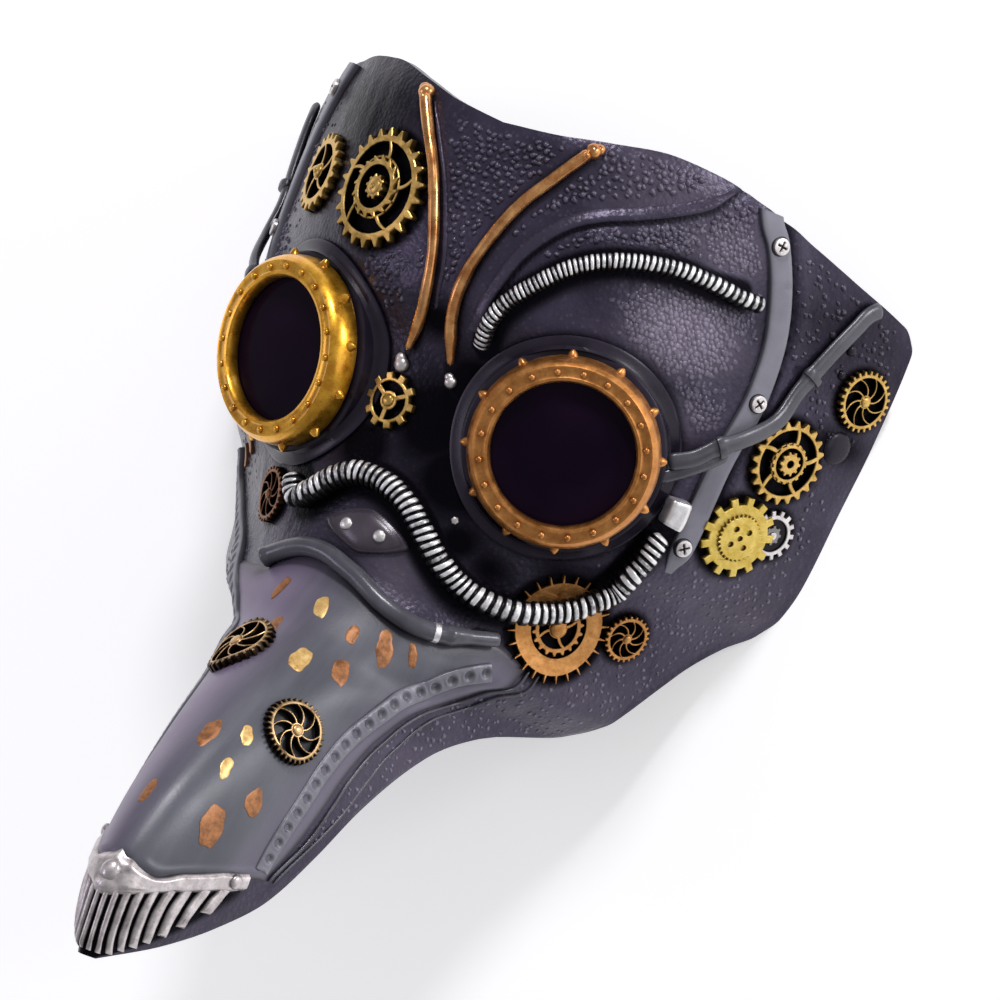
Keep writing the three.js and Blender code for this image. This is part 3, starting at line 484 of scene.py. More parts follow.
def toothed(radius, depth, teeth, tip, root, lean=0.0):
    """Outline with teeth: tip and root are half widths of a tooth as shares of the pitch."""
    low = radius - depth
    corners = ((low, -root), (radius, lean - tip), (radius, lean + tip), (low, root), (low, 0.5))
    angle = [(i + share) * TURN / teeth for i in range(teeth) for _, share in corners]
    reach = np.tile([r for r, _ in corners], teeth)
    return np.column_stack([reach * np.cos(angle), reach * np.sin(angle)])


def spoke_windows(count, near, far, spoke, twist=0.0, turn=0.0):
    """Openings between spokes of an even width, whose outer ends are turned by the twist."""
    pitch = TURN / count
    steps, bend_power, least_gap = 7, 1.4, 0.02
    share = np.linspace(0, 1, steps)
    radius = near + (far - near) * share
    bend = turn + twist * share**bend_power
    windows = []
    for i in range(count):
        first = i * pitch + spoke / radius / 2 + bend
        last = np.maximum((i + 1) * pitch - spoke / radius / 2 + bend, first + least_gap)
        outer = np.linspace(first[-1], last[-1], steps)[1:-1]
        inner = np.linspace(last[0], first[0], steps)[1:-1]
        angle = np.concatenate([first, outer, last[::-1], inner])
        reach = np.concatenate([radius, np.full(steps - 2, far), radius[::-1], np.full(steps - 2, near)])
        windows.append(np.column_stack([reach * np.cos(angle), reach * np.sin(angle)])[::-1])
    return windows


def dome(piece, place, radius, floor, height, sides=14, rings=4, shade=1.0, flat=0.0, at=(0.0, 0.0)):
    """A round button with its rim on the floor given."""
    turn = np.linspace(0, math.pi / 2, rings)
    radii = np.concatenate([[1.0], flat + (1 - flat) * np.cos(turn)]) * radius
    radii[-1] = max(radii[-1], radius * 0.02)
    heights = floor + np.concatenate([[0.0], height * (0.3 + 0.7 * np.sin(turn))])
    # Painted shade at the rim, rising to a painted highlight on top
    level = np.concatenate([[0.2], 0.5 + 0.5 * np.sin(turn)]) * shade
    stacked(piece, place, circle(1, sides), np.column_stack([radii, heights, level]), at)


def cross_screw(piece, place, radius, floor, height, turn, sides=44):
    """A low domed screw head with a cross cut into it."""
    crown = np.linspace(0.84, 0.02, 11)
    shares = np.concatenate([[1.0, 1.0, 0.93], crown])
    lifts = np.concatenate([[0.0, 0.62, 0.86], 1 - 0.14 * crown**2])
    loops = []
    shades = []
    for share, lift in zip(shares, lifts):
        flat = circle(radius * share, sides)
        a = np.abs(flat[:, 0] * math.cos(turn) + flat[:, 1] * math.sin(turn)) / radius
        b = np.abs(flat[:, 1] * math.cos(turn) - flat[:, 0] * math.sin(turn)) / radius
        cut = (1 - ease(0.06, 0.15, np.minimum(a, b))) * (1 - ease(0.55, 0.68, np.maximum(a, b)))
        loops.append(np.column_stack([flat, floor + height * (lift - 0.5 * cut)]))
        # Painted shade on the head's rim and in the cross
        shades.append(np.where(share > 0.99, 0.4, 1.0) * (1 - cut))
    piece.add(place(np.vstack(loops)), loft(np.array(loops)), np.concatenate(shades))


class Goggle:
    """The tilted frame of one goggle, with its third axis along the line of sight."""

    def __init__(self, side):
        splay, droop = math.radians(EYE["splay"]), math.radians(EYE["droop"])
        self.sight = np.array([
            side * math.sin(splay) * math.cos(droop), -math.sin(droop), math.cos(splay) * math.cos(droop)])
        across = unit(np.cross((0, 1, 0), self.sight))
        self.axes = np.array([across, np.cross(self.sight, across), self.sight])
        self.origin = np.array([side * EYE["x"], EYE["y"], EYE["z"]])

    def place(self, local):
        return self.origin + np.asarray(local, float).reshape(-1, 3) @ self.axes

    def local(self, points):
        return (points - self.origin) @ self.axes.T

    def level(self, radius, height, sides):
        """A circle about the line of sight."""
        return self.place(np.column_stack([circle(radius, sides), np.full(sides, height)]))

    def foot(self, radius, sides, start=-9.0):
        """A circle about the line of sight, slid onto the skin."""
        return slide_to_skin(self.level(radius, start, sides), self.sight)


GOGGLES = {word: Goggle(side) for word, side in SIDES}


class Shader:
    """A material made of nodes, with short names for the ones used here."""

    def __init__(self, name, constants):
        self.material = bpy.data.materials.new(name)
        self.material.use_nodes = True
        self.tree = self.material.node_tree
        self.shader = self.tree.nodes["Principled BSDF"]
        self.fill(self.shader, constants)
        self.place = self.node("TexCoord").outputs["Object"]

    def fill(self, node, values):
        """Sets a node's sockets to constants, or links other nodes to them."""
        for socket, value in values.items():
            if isinstance(value, bpy.types.NodeSocket):
                self.tree.links.new(value, node.inputs[socket])
            else:
                node.inputs[socket].default_value = value

    def node(self, kind, values=None, **settings):
        node = self.tree.nodes.new(f"ShaderNode{kind}")
        for title, value in settings.items():
            setattr(node, title, value)
        self.fill(node, values or {})
        return node

    def column(self, title):
        return self.node("Attribute", attribute_name=title).outputs["Fac"]

    def noise(self, scale, detail=4.0, rough=0.55, stretch=(1, 1, 1)):
        place = self.node("Mapping", {"Scale": stretch, "Vector": self.place}).outputs["Vector"]
        values = {"Vector": place, "Scale": scale, "Detail": detail, "Roughness": rough}
        return self.node("TexNoise", values).outputs["Fac"]

    def pits(self, scale):
        return self.node("TexVoronoi", {"Vector": self.place, "Scale": scale}).outputs["Distance"]

    def times(self, first, second):
        return self.node("Math", {0: first, 1: second}, operation="MULTIPLY").outputs[0]

    def plus(self, first, second):
        return self.node("Math", {0: first, 1: second}, operation="ADD").outputs[0]

    def span(self, value, low, high, to_low=0.0, to_high=1.0):
        values = {"Value": value, "From Min": low, "From Max": high, "To Min": to_low, "To Max": to_high}
        return self.node("MapRange", values).outputs["Result"]

    def mix(self, share, first, second):
        first, second = ((*value, 1.0) if isinstance(value, tuple) else value for value in (first, second))
        return self.node("Mix", {0: share, 6: first, 7: second}, data_type="RGBA").outputs[2]

    def bump(self, height, strength, distance):
        values = {"Strength": strength, "Distance": distance, "Height": height}
        self.fill(self.shader, {"Normal": self.node("Bump", values).outputs["Normal"]})

    def done(self, color, roughness=None):
        self.fill(self.shader, {"Base Color": color})
        if roughness is not None:
            self.fill(self.shader, {"Roughness": roughness})
        return self.material


def shell_material(name):
    """Dark leather, blotched: pale rubbing and painted glints on pebbles and glow patches, black painted
    shade.
    """
    look = Shader(name, {"Roughness": 0.42, "Specular Tint": (0.82, 0.75, 1.0, 1.0)})
    pebble, painted_shade, glow = (look.column(title) for title in ("pebble", "painted_shade", "glow"))
    grain = look.noise(1300, 5)
    blotch = look.noise(55, 3)
    worn = look.noise(420, 4, 0.65)
    fine = look.pits(720)
    ground = look.mix(look.span(blotch, 0.35, 0.68), (0.018, 0.0146, 0.0268), (0.043, 0.0356, 0.0622))
    speck = look.times(look.span(fine, 0.42, 0.12), look.span(worn, 0.42, 0.66))
    ground = look.mix(look.times(speck, 0.3), ground, (0.16, 0.148, 0.19))
    # Pale lilac in glow patches and on pebble tops: paint rubbing, partly painted highlight and glints
    ground = look.mix(look.times(glow, 0.34), ground, (0.34, 0.29, 0.38))
    rub_and_highlight = look.times(look.span(pebble, 0.3, 1.0), look.span(worn, 0.25, 0.6))
    lit = look.mix(look.times(rub_and_highlight, 0.46), ground, (0.42, 0.385, 0.47))
    # Black painted shade where its column is high
    color = look.mix(painted_shade, lit, (0.003, 0.0025, 0.004))
    look.bump(look.plus(look.times(grain, 0.5), look.times(fine, -0.6)), 0.4, 0.0004)
    # Less reflection where the painted shade lies
    look.fill(look.shader, {"Specular IOR Level": look.span(painted_shade, 0.0, 1.0, 0.5, 0.04)})
    return look.done(color, roughness=look.span(worn, 0.3, 0.75, 0.22, 0.36))


def beak_material(name):
    """Smooth grey leather with streaks down the beak and painted lilac rim light towards one side."""
    look = Shader(name, {"Metallic": 0.05})
    streak = look.noise(62, 4, 0.55, (2.6, 0.28, 0.5))
    cloud = look.noise(40, 3)
    grain = look.noise(1500, 4)
    ground = look.mix(look.span(streak, 0.36, 0.68), (0.077, 0.079, 0.1), (0.132, 0.134, 0.164))
    ground = look.mix(look.times(look.span(cloud, 0.35, 0.7), 0.35), ground, (0.096, 0.098, 0.122))
    # Painted lilac rim light
    ground = look.mix(look.times(look.column("lilac"), 0.7), ground, (0.25, 0.185, 0.3))
    color = look.mix(look.column("shade"), (0.02, 0.019, 0.024), ground)
    look.bump(grain, 0.12, 0.0003)
    return look.done(color, roughness=look.span(cloud, 0.3, 0.7, 0.32, 0.46))


def strap_material(name, low, high, roughness, shine):
    """Smooth leather or satin paint between two colours, darkened with painted shade where the shade is low.
    """
    look = Shader(name, {"Metallic": 0.12, "Specular IOR Level": shine})
    cloud = look.noise(90, 4)
    grain = look.noise(1600, 4)
    ground = look.mix(look.span(cloud, 0.3, 0.7), low, high)
    # Painted shade where the shade is low
    shade_darkening = look.span(look.column("shade"), 0.1, 0.95)
    color = look.mix(shade_darkening, tuple(0.12 * value for value in low), ground)
    look.bump(grain, 0.1, 0.0003)
    return look.done(color, roughness=look.span(cloud, 0.25, 0.75, roughness - 0.07, roughness + 0.07))


def metal_material(name, low, high, dark, roughness, wear, scale, metallic=0.85, coat=0.0):
    """Painted metal between two colours, scuffed, darkened with painted shade where the shade is low."""
    look = Shader(name, {"Metallic": metallic, "Coat Weight": coat, "Coat Roughness": 0.16})
    cloud = look.noise(scale, 5, 0.6)
    fleck = look.noise(scale * 5, 3)
    ground = look.mix(look.span(cloud, 0.32, 0.68), low, high)
    scuff = look.times(look.span(fleck, 0.55, 0.75), wear)
    ground = look.mix(scuff, ground, tuple(0.45 * value for value in low))
    # Painted shade where the shade is low
    color = look.mix(look.span(look.column("shade"), 0.08, 0.85), dark, ground)
    look.bump(cloud, 0.25, 0.0004)
    return look.done(color, roughness=look.span(cloud, 0.3, 0.7, roughness - 0.1, roughness + 0.12))


def hose_material(name):
    """Black rubber, with silver rubbing and painted highlight where the shade is high."""
    look = Shader(name, {"Metallic": 0.5, "Roughness": 0.36})
    worn = look.noise(900, 4, 0.6)
    rub_and_highlight = look.span(look.plus(look.column("shade"), look.times(worn, 0.7)), 0.92, 1.3)
    color = look.mix(rub_and_highlight, (0.01, 0.009, 0.011), (0.95, 0.94, 0.95))
    look.bump(worn, 0.2, 0.0003)
    return look.done(color)


def lens_material(name):
    """Black glass with a faint purple haze."""
    look = Shader(name, {"Roughness": 0.14, "Specular IOR Level": 0.06})
    haze = look.span(look.noise(36, 2), 0.35, 0.7)
    return look.done(look.mix(haze, (0.006, 0.0025, 0.0095), (0.012, 0.004, 0.015)))


# Columns: look, slot, low colour, high colour, roughness, shine
STRAPS = (
    ("dark_metal", "dark_metal", (0.013, 0.01, 0.019), (0.027, 0.021, 0.037), 0.3, 0.28),
    ("grey_strap", "grey_strap", (0.168, 0.166, 0.202), (0.232, 0.229, 0.272), 0.4, 0.5),
    ("dark_strap", "grey_strap", (0.05, 0.049, 0.061), (0.1, 0.098, 0.117), 0.26, 0.5),
    ("beak_strip", "grey_strap", (0.15, 0.148, 0.178), (0.225, 0.221, 0.26), 0.34, 0.5),
    ("root_pipe_leather", "grey_strap", (0.07, 0.069, 0.085), (0.125, 0.123, 0.146), 0.24, 0.5),
    ("nose_cap_gloss", "dark_metal", (0.052, 0.04, 0.055), (0.1, 0.082, 0.108), 0.26, 0.5),
)
# Near black, the colour of painted shade on several metals
BLACK = (0.006, 0.005, 0.005)
RING_WEAR = (0.45, 260, 0.85)
# Columns: look, slot, low colour, high colour, painted shade colour, roughness, wear, noise scale, metallic,
# coat
METALS = (
    ("brass_ring", "brass", (0.7, 0.3, 0.015), (1.0, 0.54, 0.048), (0.08, 0.03, 0.003), 0.3, *RING_WEAR, 0.4),
    ("copper_ring", "copper", (0.46, 0.17, 0.035), (0.74, 0.33, 0.09), (0.06, 0.02, 0.006),
     0.36, *RING_WEAR, 0.25),
    ("brass", "brass", (0.5, 0.3, 0.07), (0.88, 0.58, 0.19), BLACK, 0.36, 0.35, 420),
    ("bright_gold", "brass", (0.62, 0.43, 0.07), (0.9, 0.69, 0.2), (0.09, 0.045, 0.004), 0.42, 0.3, 420),
    ("copper", "copper", (0.46, 0.19, 0.05), (0.74, 0.38, 0.13), BLACK, 0.42, 0.45, 420),
    ("copper_rod", "copper", (0.5, 0.17, 0.04), (1.0, 0.53, 0.2), (0.06, 0.018, 0.006),
     0.27, 0.25, 200, 0.85, 0.3),
    ("silver", "silver", (0.62, 0.58, 0.58), (0.92, 0.88, 0.87), (0.02, 0.017, 0.02), 0.36, 0.25, 420),
    ("tip_silver", "silver", (0.42, 0.375, 0.375), (0.84, 0.78, 0.78), (0.006, 0.005, 0.006),
     0.33, 0.4, 260, 0.75),
    ("clip_silver", "silver", (0.8, 0.79, 0.8), (0.95, 0.94, 0.94), (0.1, 0.1, 0.11), 0.4, 0.2, 420),
    ("gold_leaf", "brass", (0.7, 0.39, 0.1), (0.98, 0.7, 0.29), (0.2, 0.08, 0.02), 0.34, 0.3, 500, 0.4),
    ("copper_leaf", "copper", (0.2, 0.08, 0.03), (0.5, 0.21, 0.075), (0.08, 0.03, 0.01), 0.4, 0.5, 500, 0.4),
    ("pale_gold", "brass", (0.52, 0.32, 0.13), (0.92, 0.64, 0.33), (0.02, 0.01, 0.006), 0.36, 0.35, 420),
    ("dark_copper", "copper", (0.15, 0.065, 0.03), (0.4, 0.18, 0.085), BLACK, 0.4, 0.4, 420),
)
PLAIN_LOOKS = (
    (shell_material, "shell_leather"), (beak_material, "beak_leather"), (hose_material, "hose"),
    (lens_material, "lens"),
)
LOOKS = {name: material(name) for material, name in PLAIN_LOOKS}
SLOTS = {name: name for _, name in PLAIN_LOOKS}
for material, table in ((strap_material, STRAPS), (metal_material, METALS)):
    for look_name, look_slot, *values in table:
        LOOKS[look_name] = material(look_name, *values)
        SLOTS[look_name] = look_slot


# The moulded shell: a fine outer skin with its relief, a coarser plain inner skin, and the rim between
SHELL_ROWS = ((TOP_Y, -60.0, 188), (-60.0, -100.0, 44), (-100.0, TIP_Y, 52))
SHELL_COLUMNS = 280
INNER_STEP = 4
CORNER_ROUND = 4.5
CORNER_STEEP = 2.3


def bent_grid():
    """Share of the half width and y at each grid point, bent to follow the top edge."""
    even = np.linspace(-1, 1, SHELL_COLUMNS + 1)
    bands = [np.linspace(start, end, rows, endpoint=False) for start, end, rows in SHELL_ROWS]
    share, row_y = np.meshgrid((even + np.sin(even * math.pi / 2)) / 2, np.concatenate(bands + [[TIP_Y]]))
    rise = top_edge_at(np.abs(share) * half_at(row_y)) - TOP_Y
    y = row_y + rise * np.clip((row_y - TOP_BEND_FROM_Y) / (TOP_Y - TOP_BEND_FROM_Y), 0, 1)
    width = CORNER_ROUND / half_at(y)
    a = np.clip(1 - (1 - np.abs(share)) * CORNER_STEEP / width, 0, 1)
    b = np.clip(1 - (y[:1] - y) / CORNER_ROUND, 0, 1)
    inward = width / CORNER_STEEP * a * (1 - np.sqrt(1 - b**2 / 2))
    down = CORNER_ROUND * b * (1 - np.sqrt(1 - a**2 / 2))
    return share - np.sign(share) * inward, y - down


def inner_skin(share, bent):
    pull = (INNER_TIP_Y - TIP_WALL_FROM_Y) / (TIP_Y - TIP_WALL_FROM_Y)
    y = np.where(bent < TIP_WALL_FROM_Y, TIP_WALL_FROM_Y + (bent - TIP_WALL_FROM_Y) * pull, bent)
    x = share * (half_at(y) - RIM_WALL)
    crown = crown_at(y) - WALL * np.hypot(1, skin_slope(np.zeros_like(y), y)[1])
    return np.stack([x, y, arch(share, y, crown) - socket_dent(x, y)], axis=-1)


# Columns: x, y, spread, weight. Where the skin is pebbled
BROW_COBBLES = (
    (53, 28, 10, 1.0), (60, 12, 7, 0.6), (60, 36, 7, 0.6), (46, 49, 8, 0.55), (58, 54, 8, 0.6),
    (34, 42, 7, 0.4),
)
FOREHEAD_DOTS = (
    (3, 48, 14, 1.0), (11, 33, 8, 1.0), (22, 46, 10, 1.0), (36, 58, 13, 1.0), (50, 63, 8, 1.0),
    (18, 60, 9, 0.9), (-20, 16, 8, 0.8), (-3, 26, 7, 0.8), (28, 37, 6, 0.8),
)
TEMPLE_DOTS = (
    (78, 40, 14, 1.0), (74, 54, 8, 0.9), (84, -8, 10, 0.7), (80, 22, 9, 0.7), (-74, 12, 18, 0.6),
    (-70, 44, 12, 0.5),
)
CHEEK_DOTS = (
    (72, -32, 15, 1.0), (58, -58, 12, 1.0), (42, -78, 10, 1.0), (31, -95, 9, 1.0), (27, -115, 9, 1.0),
    (-60, -40, 14, 0.4), (-46, -70, 12, 0.6), (-30, -95, 9, 0.9), (-27, -115, 9, 0.9), (50, -30, 6, 0.5),
)
# Columns: name, spacing, radius, height, share kept, brightness of the rubbing and painted glint on the tops
# off the pale patches, where
PEBBLES = (
    ("cobbles", 1.4, 0.95, 0.25, 1.0, 0.6, BROW_COBBLES),
    ("forehead_dots", 2.05, 0.98, 0.7, 1.0, 0.65, FOREHEAD_DOTS),
    ("temple_dots", 2.4, 0.8, 0.6, 0.65, 1.0, TEMPLE_DOTS),
    ("cheek_dots", 2.1, 0.7, 0.24, 0.6, 1.0, CHEEK_DOTS),
)
# Columns: x, y, spread, strength of the painted shade
DARK_PATCHES = (
    (6, -14, 16, 1.0), (16, -26, 14, 1.0), (12, -2, 10, 1.0), (-10, -26, 11, 1.0), (-14, -8, 9, 1.0),
    (-44, 52, 26, 0.76), (-58, -38, 16, 0.4), (79, 42, 15, 0.45), (22, -40, 7, 0.9), (0, 10, 6, 0.9),
    (30, -44, 7, 0.8), (44, -40, 7, 0.8), (84, 16, 5, 0.9),
)
# Columns: x, y, spread, strength of the pale lilac rubbing, partly a painted highlight
PALE_PATCHES = (
    (55, 29, 9, 1.0), (40, 60, 12, 0.3), (58, 52, 9, 0.4), (70, -30, 16, 0.3), (50, -66, 14, 0.3),
    (30, -100, 16, 0.25), (-62, -42, 16, 0.15), (12, -53, 9, 0.55), (-78, 30, 14, 0.2), (60, 8, 6, 0.4),
)
PATCH_GAIN = 1.25
# Columns: path, points on it, its sides, strength of the painted shade beside it, where that ends and starts
# to fade, where the calm skin beside it ends and starts to fade
BESIDE = (
    (BROW_ROD, 30, (-1, 1), 0.8, 3.2, 1.4, 4.5, 2.5),
    (GOGGLE_STRAP, 30, (-1, 1), 0.8, 4.0, 2.2, 5, 3.5),
    (ROOT_PIPE, 40, (1,), 0.75, 4.0, 2.0, 5, 3),
)
# Columns: path, radius, reach of the painted shade. It reaches further on the right, the lower side,
# where it is a painted shadow
BESIDE_HOSES = ((BROW_HOSE, 2.4, 2.6), (NOSE_HOSE, 3.3, 3.0))
CUP_REACH = 28.6


def patches(table, x, y):
    total = np.zeros_like(x)
    for patch_x, patch_y, spread, weight in table:
        total = np.maximum(total, weight * bell(np.hypot(x - patch_x, y - patch_y), spread))
    return np.clip(total * PATCH_GAIN, 0, 1)


def under_panel(points):
    """1 where the beak's panel covers the skin."""
    beyond = np.abs(points[:, 0]) - seam_at(points[:, 1])
    return ease(1.4, 0.4, beyond) * ease(-62, -66, points[:, 1]) * ease(-142, -138, points[:, 1])


def under_comb(points):
    """1 on the ground between the bars of the tip."""
    x, y = np.abs(points[:, 0]), points[:, 1]
    return ease(0.6, -0.6, y - chevron_low_at(x)) * ease(0.9, 0.84, x / half_at(y)) * (y < CHEVRON_END_Y)


def beside_band(points, side):
    """Distance from a temple band and inward of its middle, and 1 above the band's lower end."""
    away, right = Line(TEMPLE_BAND, 30, side).near(points)
    return away, -right * side, ease(-24, -18, points[:, 1])


def surroundings(points):
    """How near each point is to something that sits on the skin, and how dark the painted shade is there."""
    comb = under_comb(points)
    marks = [(under_panel(points), patches(DARK_PATCHES, points[:, 0], points[:, 1])), (comb, comb)]
    for gear_x, gear_y, radius in GEAR_PLACES.values():
        away = np.linalg.norm(points - on_skin(gear_x, gear_y), axis=1) - radius
        marks.append((ease(3.0, 0.5, away), ease(2.6, 0.0, away)))
    for goggle in GOGGLES.values():
        away = np.linalg.norm(goggle.local(points)[:, :2], axis=1) - CUP_REACH
        marks.append((ease(4, 0.5, away), 0.85 * ease(2.6, -0.3, away)))
    for knots, radius, reach in BESIDE_HOSES:
        away, right = Line(knots, 40).near(points)
        reach = np.where(right > 0, reach + 1.6, reach - 0.8)
        marks.append((ease(3, 0.5, away - radius), 0.96 * ease(1, 0.3, (away - radius) / reach)))
    for knots, count, sides, strength, shade_end, shade_full, calm_end, calm_full in BESIDE:
        for side in sides:
            away, _ = Line(knots, count, side).near(points)
            marks.append((ease(calm_end, calm_full, away), strength * ease(shade_end, shade_full, away)))
    for _, side in SIDES:
        away, inward, above = beside_band(points, side)
        marks.append((ease(6, 4.5, away), 0.95 * bell(inward - 4.1, 0.75) * ease(6, 5, away) * above))
    away, right = Line(BROW_LIP, 40).near(points)
    calm = ease(-3.2, -2.0, right) * ease(6.0, 5.0, right) * ease(9, 7, away)
    marks.append((calm, 0.9 * bell(right + 0.9, 0.8) * ease(6, 4, away)))
    return np.max(marks, axis=0)


def shell_relief(points, calm):
    """Soft swells of the outer skin, and the grooves beside the bands and the brow lip."""
    y = points[:, 1]
    across = points[:, 0] + np.sign(points[:, 0]) * (crown_at(y) - points[:, 2])
    relief = 0.6 * swing(across / 15, y / 15, 21) + 0.2 * swing(across / 5, y / 5, 22)
    relief = relief * (1 - 0.85 * calm) - 0.3 * under_panel(points)
    for _, side in SIDES:
        away, inward, above = beside_band(points, side)
        groove = 0.5 * bell(inward - 6.6, 2.2) - 0.7 * bell(inward - 4.1, 0.8)
        relief += groove * ease(12, 8, away) * above
    away, right = Line(BROW_LIP, 40).near(points)
    return relief - 0.6 * bell(right + 1.0, 0.8) * ease(6, 4, away)


def scattered(spacing, seed):
    """Jittered places on the skin at an even spacing, with a number from 0 to 1 for each."""
    low_y, high_y, row_share = -136.0, 67.0, 0.87
    found = []
    for row, row_y in enumerate(np.arange(low_y, high_y, spacing * row_share)):
        x = np.linspace(0, float(half_at(row_y)), 90)
        length = lengths(np.column_stack([x, skin(x, np.full_like(x, row_y))]))
        column = np.arange(-int(length[-1] / spacing), int(length[-1] / spacing) + 1)
        jitter = 0.55 * (lattice(column, row, seed) - 0.5)
        along = (column + 0.5 * (row % 2) + jitter) * spacing
        y = row_y + 0.5 * spacing * (lattice(column, row, seed + 1) - 0.5)
        place_x = np.sign(along) * np.interp(np.abs(along), length, x)
        found.append(np.stack([place_x, y, lattice(column, row, seed + 2)], axis=1))
    found = np.vstack(found)
    x, y = found[:, 0], found[:, 1]
    inside = (np.abs(x) < half_at(y) * 0.975) & (y < top_edge_at(np.abs(x)) - 2.2)
    return found[inside]


def build_pebbles():
    """Low rounded bumps in the leather, each a small dome that runs out into the skin."""
    shares = np.array([1.0, 0.74, 0.42, 0.06])
    sides = 8
    angle = around(sides)
    per_dome = len(shares) * sides
    template = np.array(loft(np.empty((len(shares), sides)), caps=False))
    ends = np.array([range(sides), range(per_dome - sides, per_dome)])
    for number, (name, spacing, radius, height, kept, bright, where) in enumerate(PEBBLES):
        spots = scattered(spacing, 100 + 10 * number)
        weight = ease(0.12, 0.6, patches(where, spots[:, 0], spots[:, 1]))
        middle = on_skin(spots[:, 0], spots[:, 1])
        calm, painted_shade = surroundings(middle)
        keep = (spots[:, 2] < kept * weight) & (calm < 0.4)
        spots, middle, weight, calm, painted_shade = (values[keep] for values in (spots, middle, weight, calm, painted_shade))
        x, y = spots[:, 0], spots[:, 1]
        size = 0.75 + 0.5 * lattice(x * 3.1, y * 2.3, 7)
        up = skin_normal(x, y)
        middle = middle + up * shell_relief(middle, calm)[:, None]
        across = unit(np.cross((0, 1, 0), up))
        forward = np.cross(up, across)
        ring = np.cos(angle)[:, None] * across[:, None] + np.sin(angle)[:, None] * forward[:, None]
        turn = TURN * lattice(x * 1.7, y * 4.1, 9)[:, None]
        uneven = 1 + 0.15 * np.cos(2 * (angle + turn)) + 0.1 * np.cos(3 * (angle - 2 * turn))
        ring = ring * uneven[..., None]
        out = (radius * size)[:, None, None, None] * shares[:, None, None] * ring[:, None]
        tall = height * size * (0.3 + 0.7 * weight)
        rise = tall[:, None] * (1 - shares**2) ** 1.3 - 0.08 * (shares > 0.9)
        points = middle[:, None, None] + out + (rise[..., None] * up[:, None])[:, :, None]
        starts = np.arange(0, len(spots) * per_dome, per_dome)[:, None, None]
        piece = Piece()
        piece.add(points, (starts + template).reshape(-1, 4).tolist())
        piece.faces.extend((starts + ends).reshape(-1, sides).tolist())
        # Pebble tops get pale rubbing with painted glints; the painted shade comes from the surroundings
        pale = patches(PALE_PATCHES, x, y)
        rub_and_highlight = np.repeat(bright + (1 - bright) * pale, per_dome)
        layers = {
            "pebble": np.tile(np.repeat(1 - shares**2, sides), len(spots)) * rub_and_highlight,
            "painted_shade": np.repeat(painted_shade * 0.9, per_dome),
            "glow": np.repeat(pale, per_dome),
        }
        make(piece, name, "shell_leather", None, 70, layers)


# Columns: across, up
LIP_SECTION = (
    (-0.6, -0.5), (-0.35, 0.6), (0.0, 0.95), (0.55, 1.0), (1.2, 0.8), (2.1, 0.36), (3.0, 0.03), (3.2, -0.4),
)
CORD_SECTION = ((-0.8, -0.4), (-0.5, 0.35), (0, 0.55), (0.5, 0.35), (0.8, -0.4))
# Columns: name, path, side, cross section
WELTS = (
    ("brow_welt", LIP_RUN, 1, LIP_SECTION),
    ("rod_welt", [(x - 2.9, y - 1.0) for x, y in BROW_ROD[:-1]], -1, CORD_SECTION),
)


def build_welts():
    """Smooth raised lines on the skin."""
    for name, knots, side, section in WELTS:
        line = Line(knots, 130, side, 0.0)
        across, up = np.transpose(section)
        across = across * (0.35 + 0.65 * ease(0, 9, line.along))[:, None]
        height = np.tile(up, (len(line.centre), 1))
        fade = ease(-0.2, 5, line.to_go)[:, None]
        rings = line.rings(across, np.where(height > 0, height * fade, height))
        piece = Piece()
        piece.add(rings, loft(rings))
        # Painted shade along the welt's low edges; a little pale rubbing and painted highlight on its top
        low = np.where(height < 0, 0.8, 0.0).ravel()
        layers = {"pebble": 0 * low, "painted_shade": low, "glow": 0.12 * (1 - low)}
        make(piece, name, "shell_leather", None, 60, layers)


def build_shell():
    share, y = bent_grid()
    x = share * half_at(y)
    outer = np.stack([x, y, skin(x, y)], axis=-1)
    flat = outer.reshape(-1, 3)
    calm, painted_shade = surroundings(flat)
    glow = patches(PALE_PATCHES, flat[:, 0], flat[:, 1])
    relief = shell_relief(flat, calm) * ease(1.0, 0.985, np.abs(share).ravel())
    flat = flat + skin_normal(flat[:, 0], flat[:, 1]) * relief[:, None]
    inner = inner_skin(share[::INNER_STEP, ::INNER_STEP], y[::INNER_STEP, ::INNER_STEP])
    piece = Piece()
    for points in (flat.reshape(outer.shape), inner):
        rows, columns = points.shape[:2]
        spot = points.reshape(-1, 3)
        inside = np.zeros(len(spot), bool)
        for goggle in GOGGLES.values():
            local = goggle.local(spot)
            radius = np.hypot(local[:, 0], local[:, 1])
            hit = radius < EYE["hole"]
            local[hit, :2] *= (EYE["hole"] / np.maximum(radius[hit], 0.01))[:, None]
            spot = np.where(hit[:, None], goggle.place(local), spot)
            inside |= hit
        quads = grid_faces(np.arange(rows * columns).reshape(rows, columns))
        piece.add(spot, quads[~inside[quads].all(axis=1)].tolist())
    rim_faces(piece, *outer.shape[:2])
    for goggle in GOGGLES.values():
        foot = goggle.foot(EYE["hole"], 72)
        sleeve = np.array([foot + goggle.sight * step for step in (0.05, -WALL - 0.3)])
        piece.add(sleeve, loft(sleeve, caps=False))
    plain = piece.count - len(flat)
    # Painted shade on the inner skin, rim and eye sleeves
    layers = {
        "pebble": np.zeros(piece.count),
        "painted_shade": np.concatenate([painted_shade, np.full(plain, 0.35)]),
        "glow": np.concatenate([glow, np.full(plain, 0.1)]),
    }
    make(piece, "shell", "shell_leather", "face_shell", 40, layers)


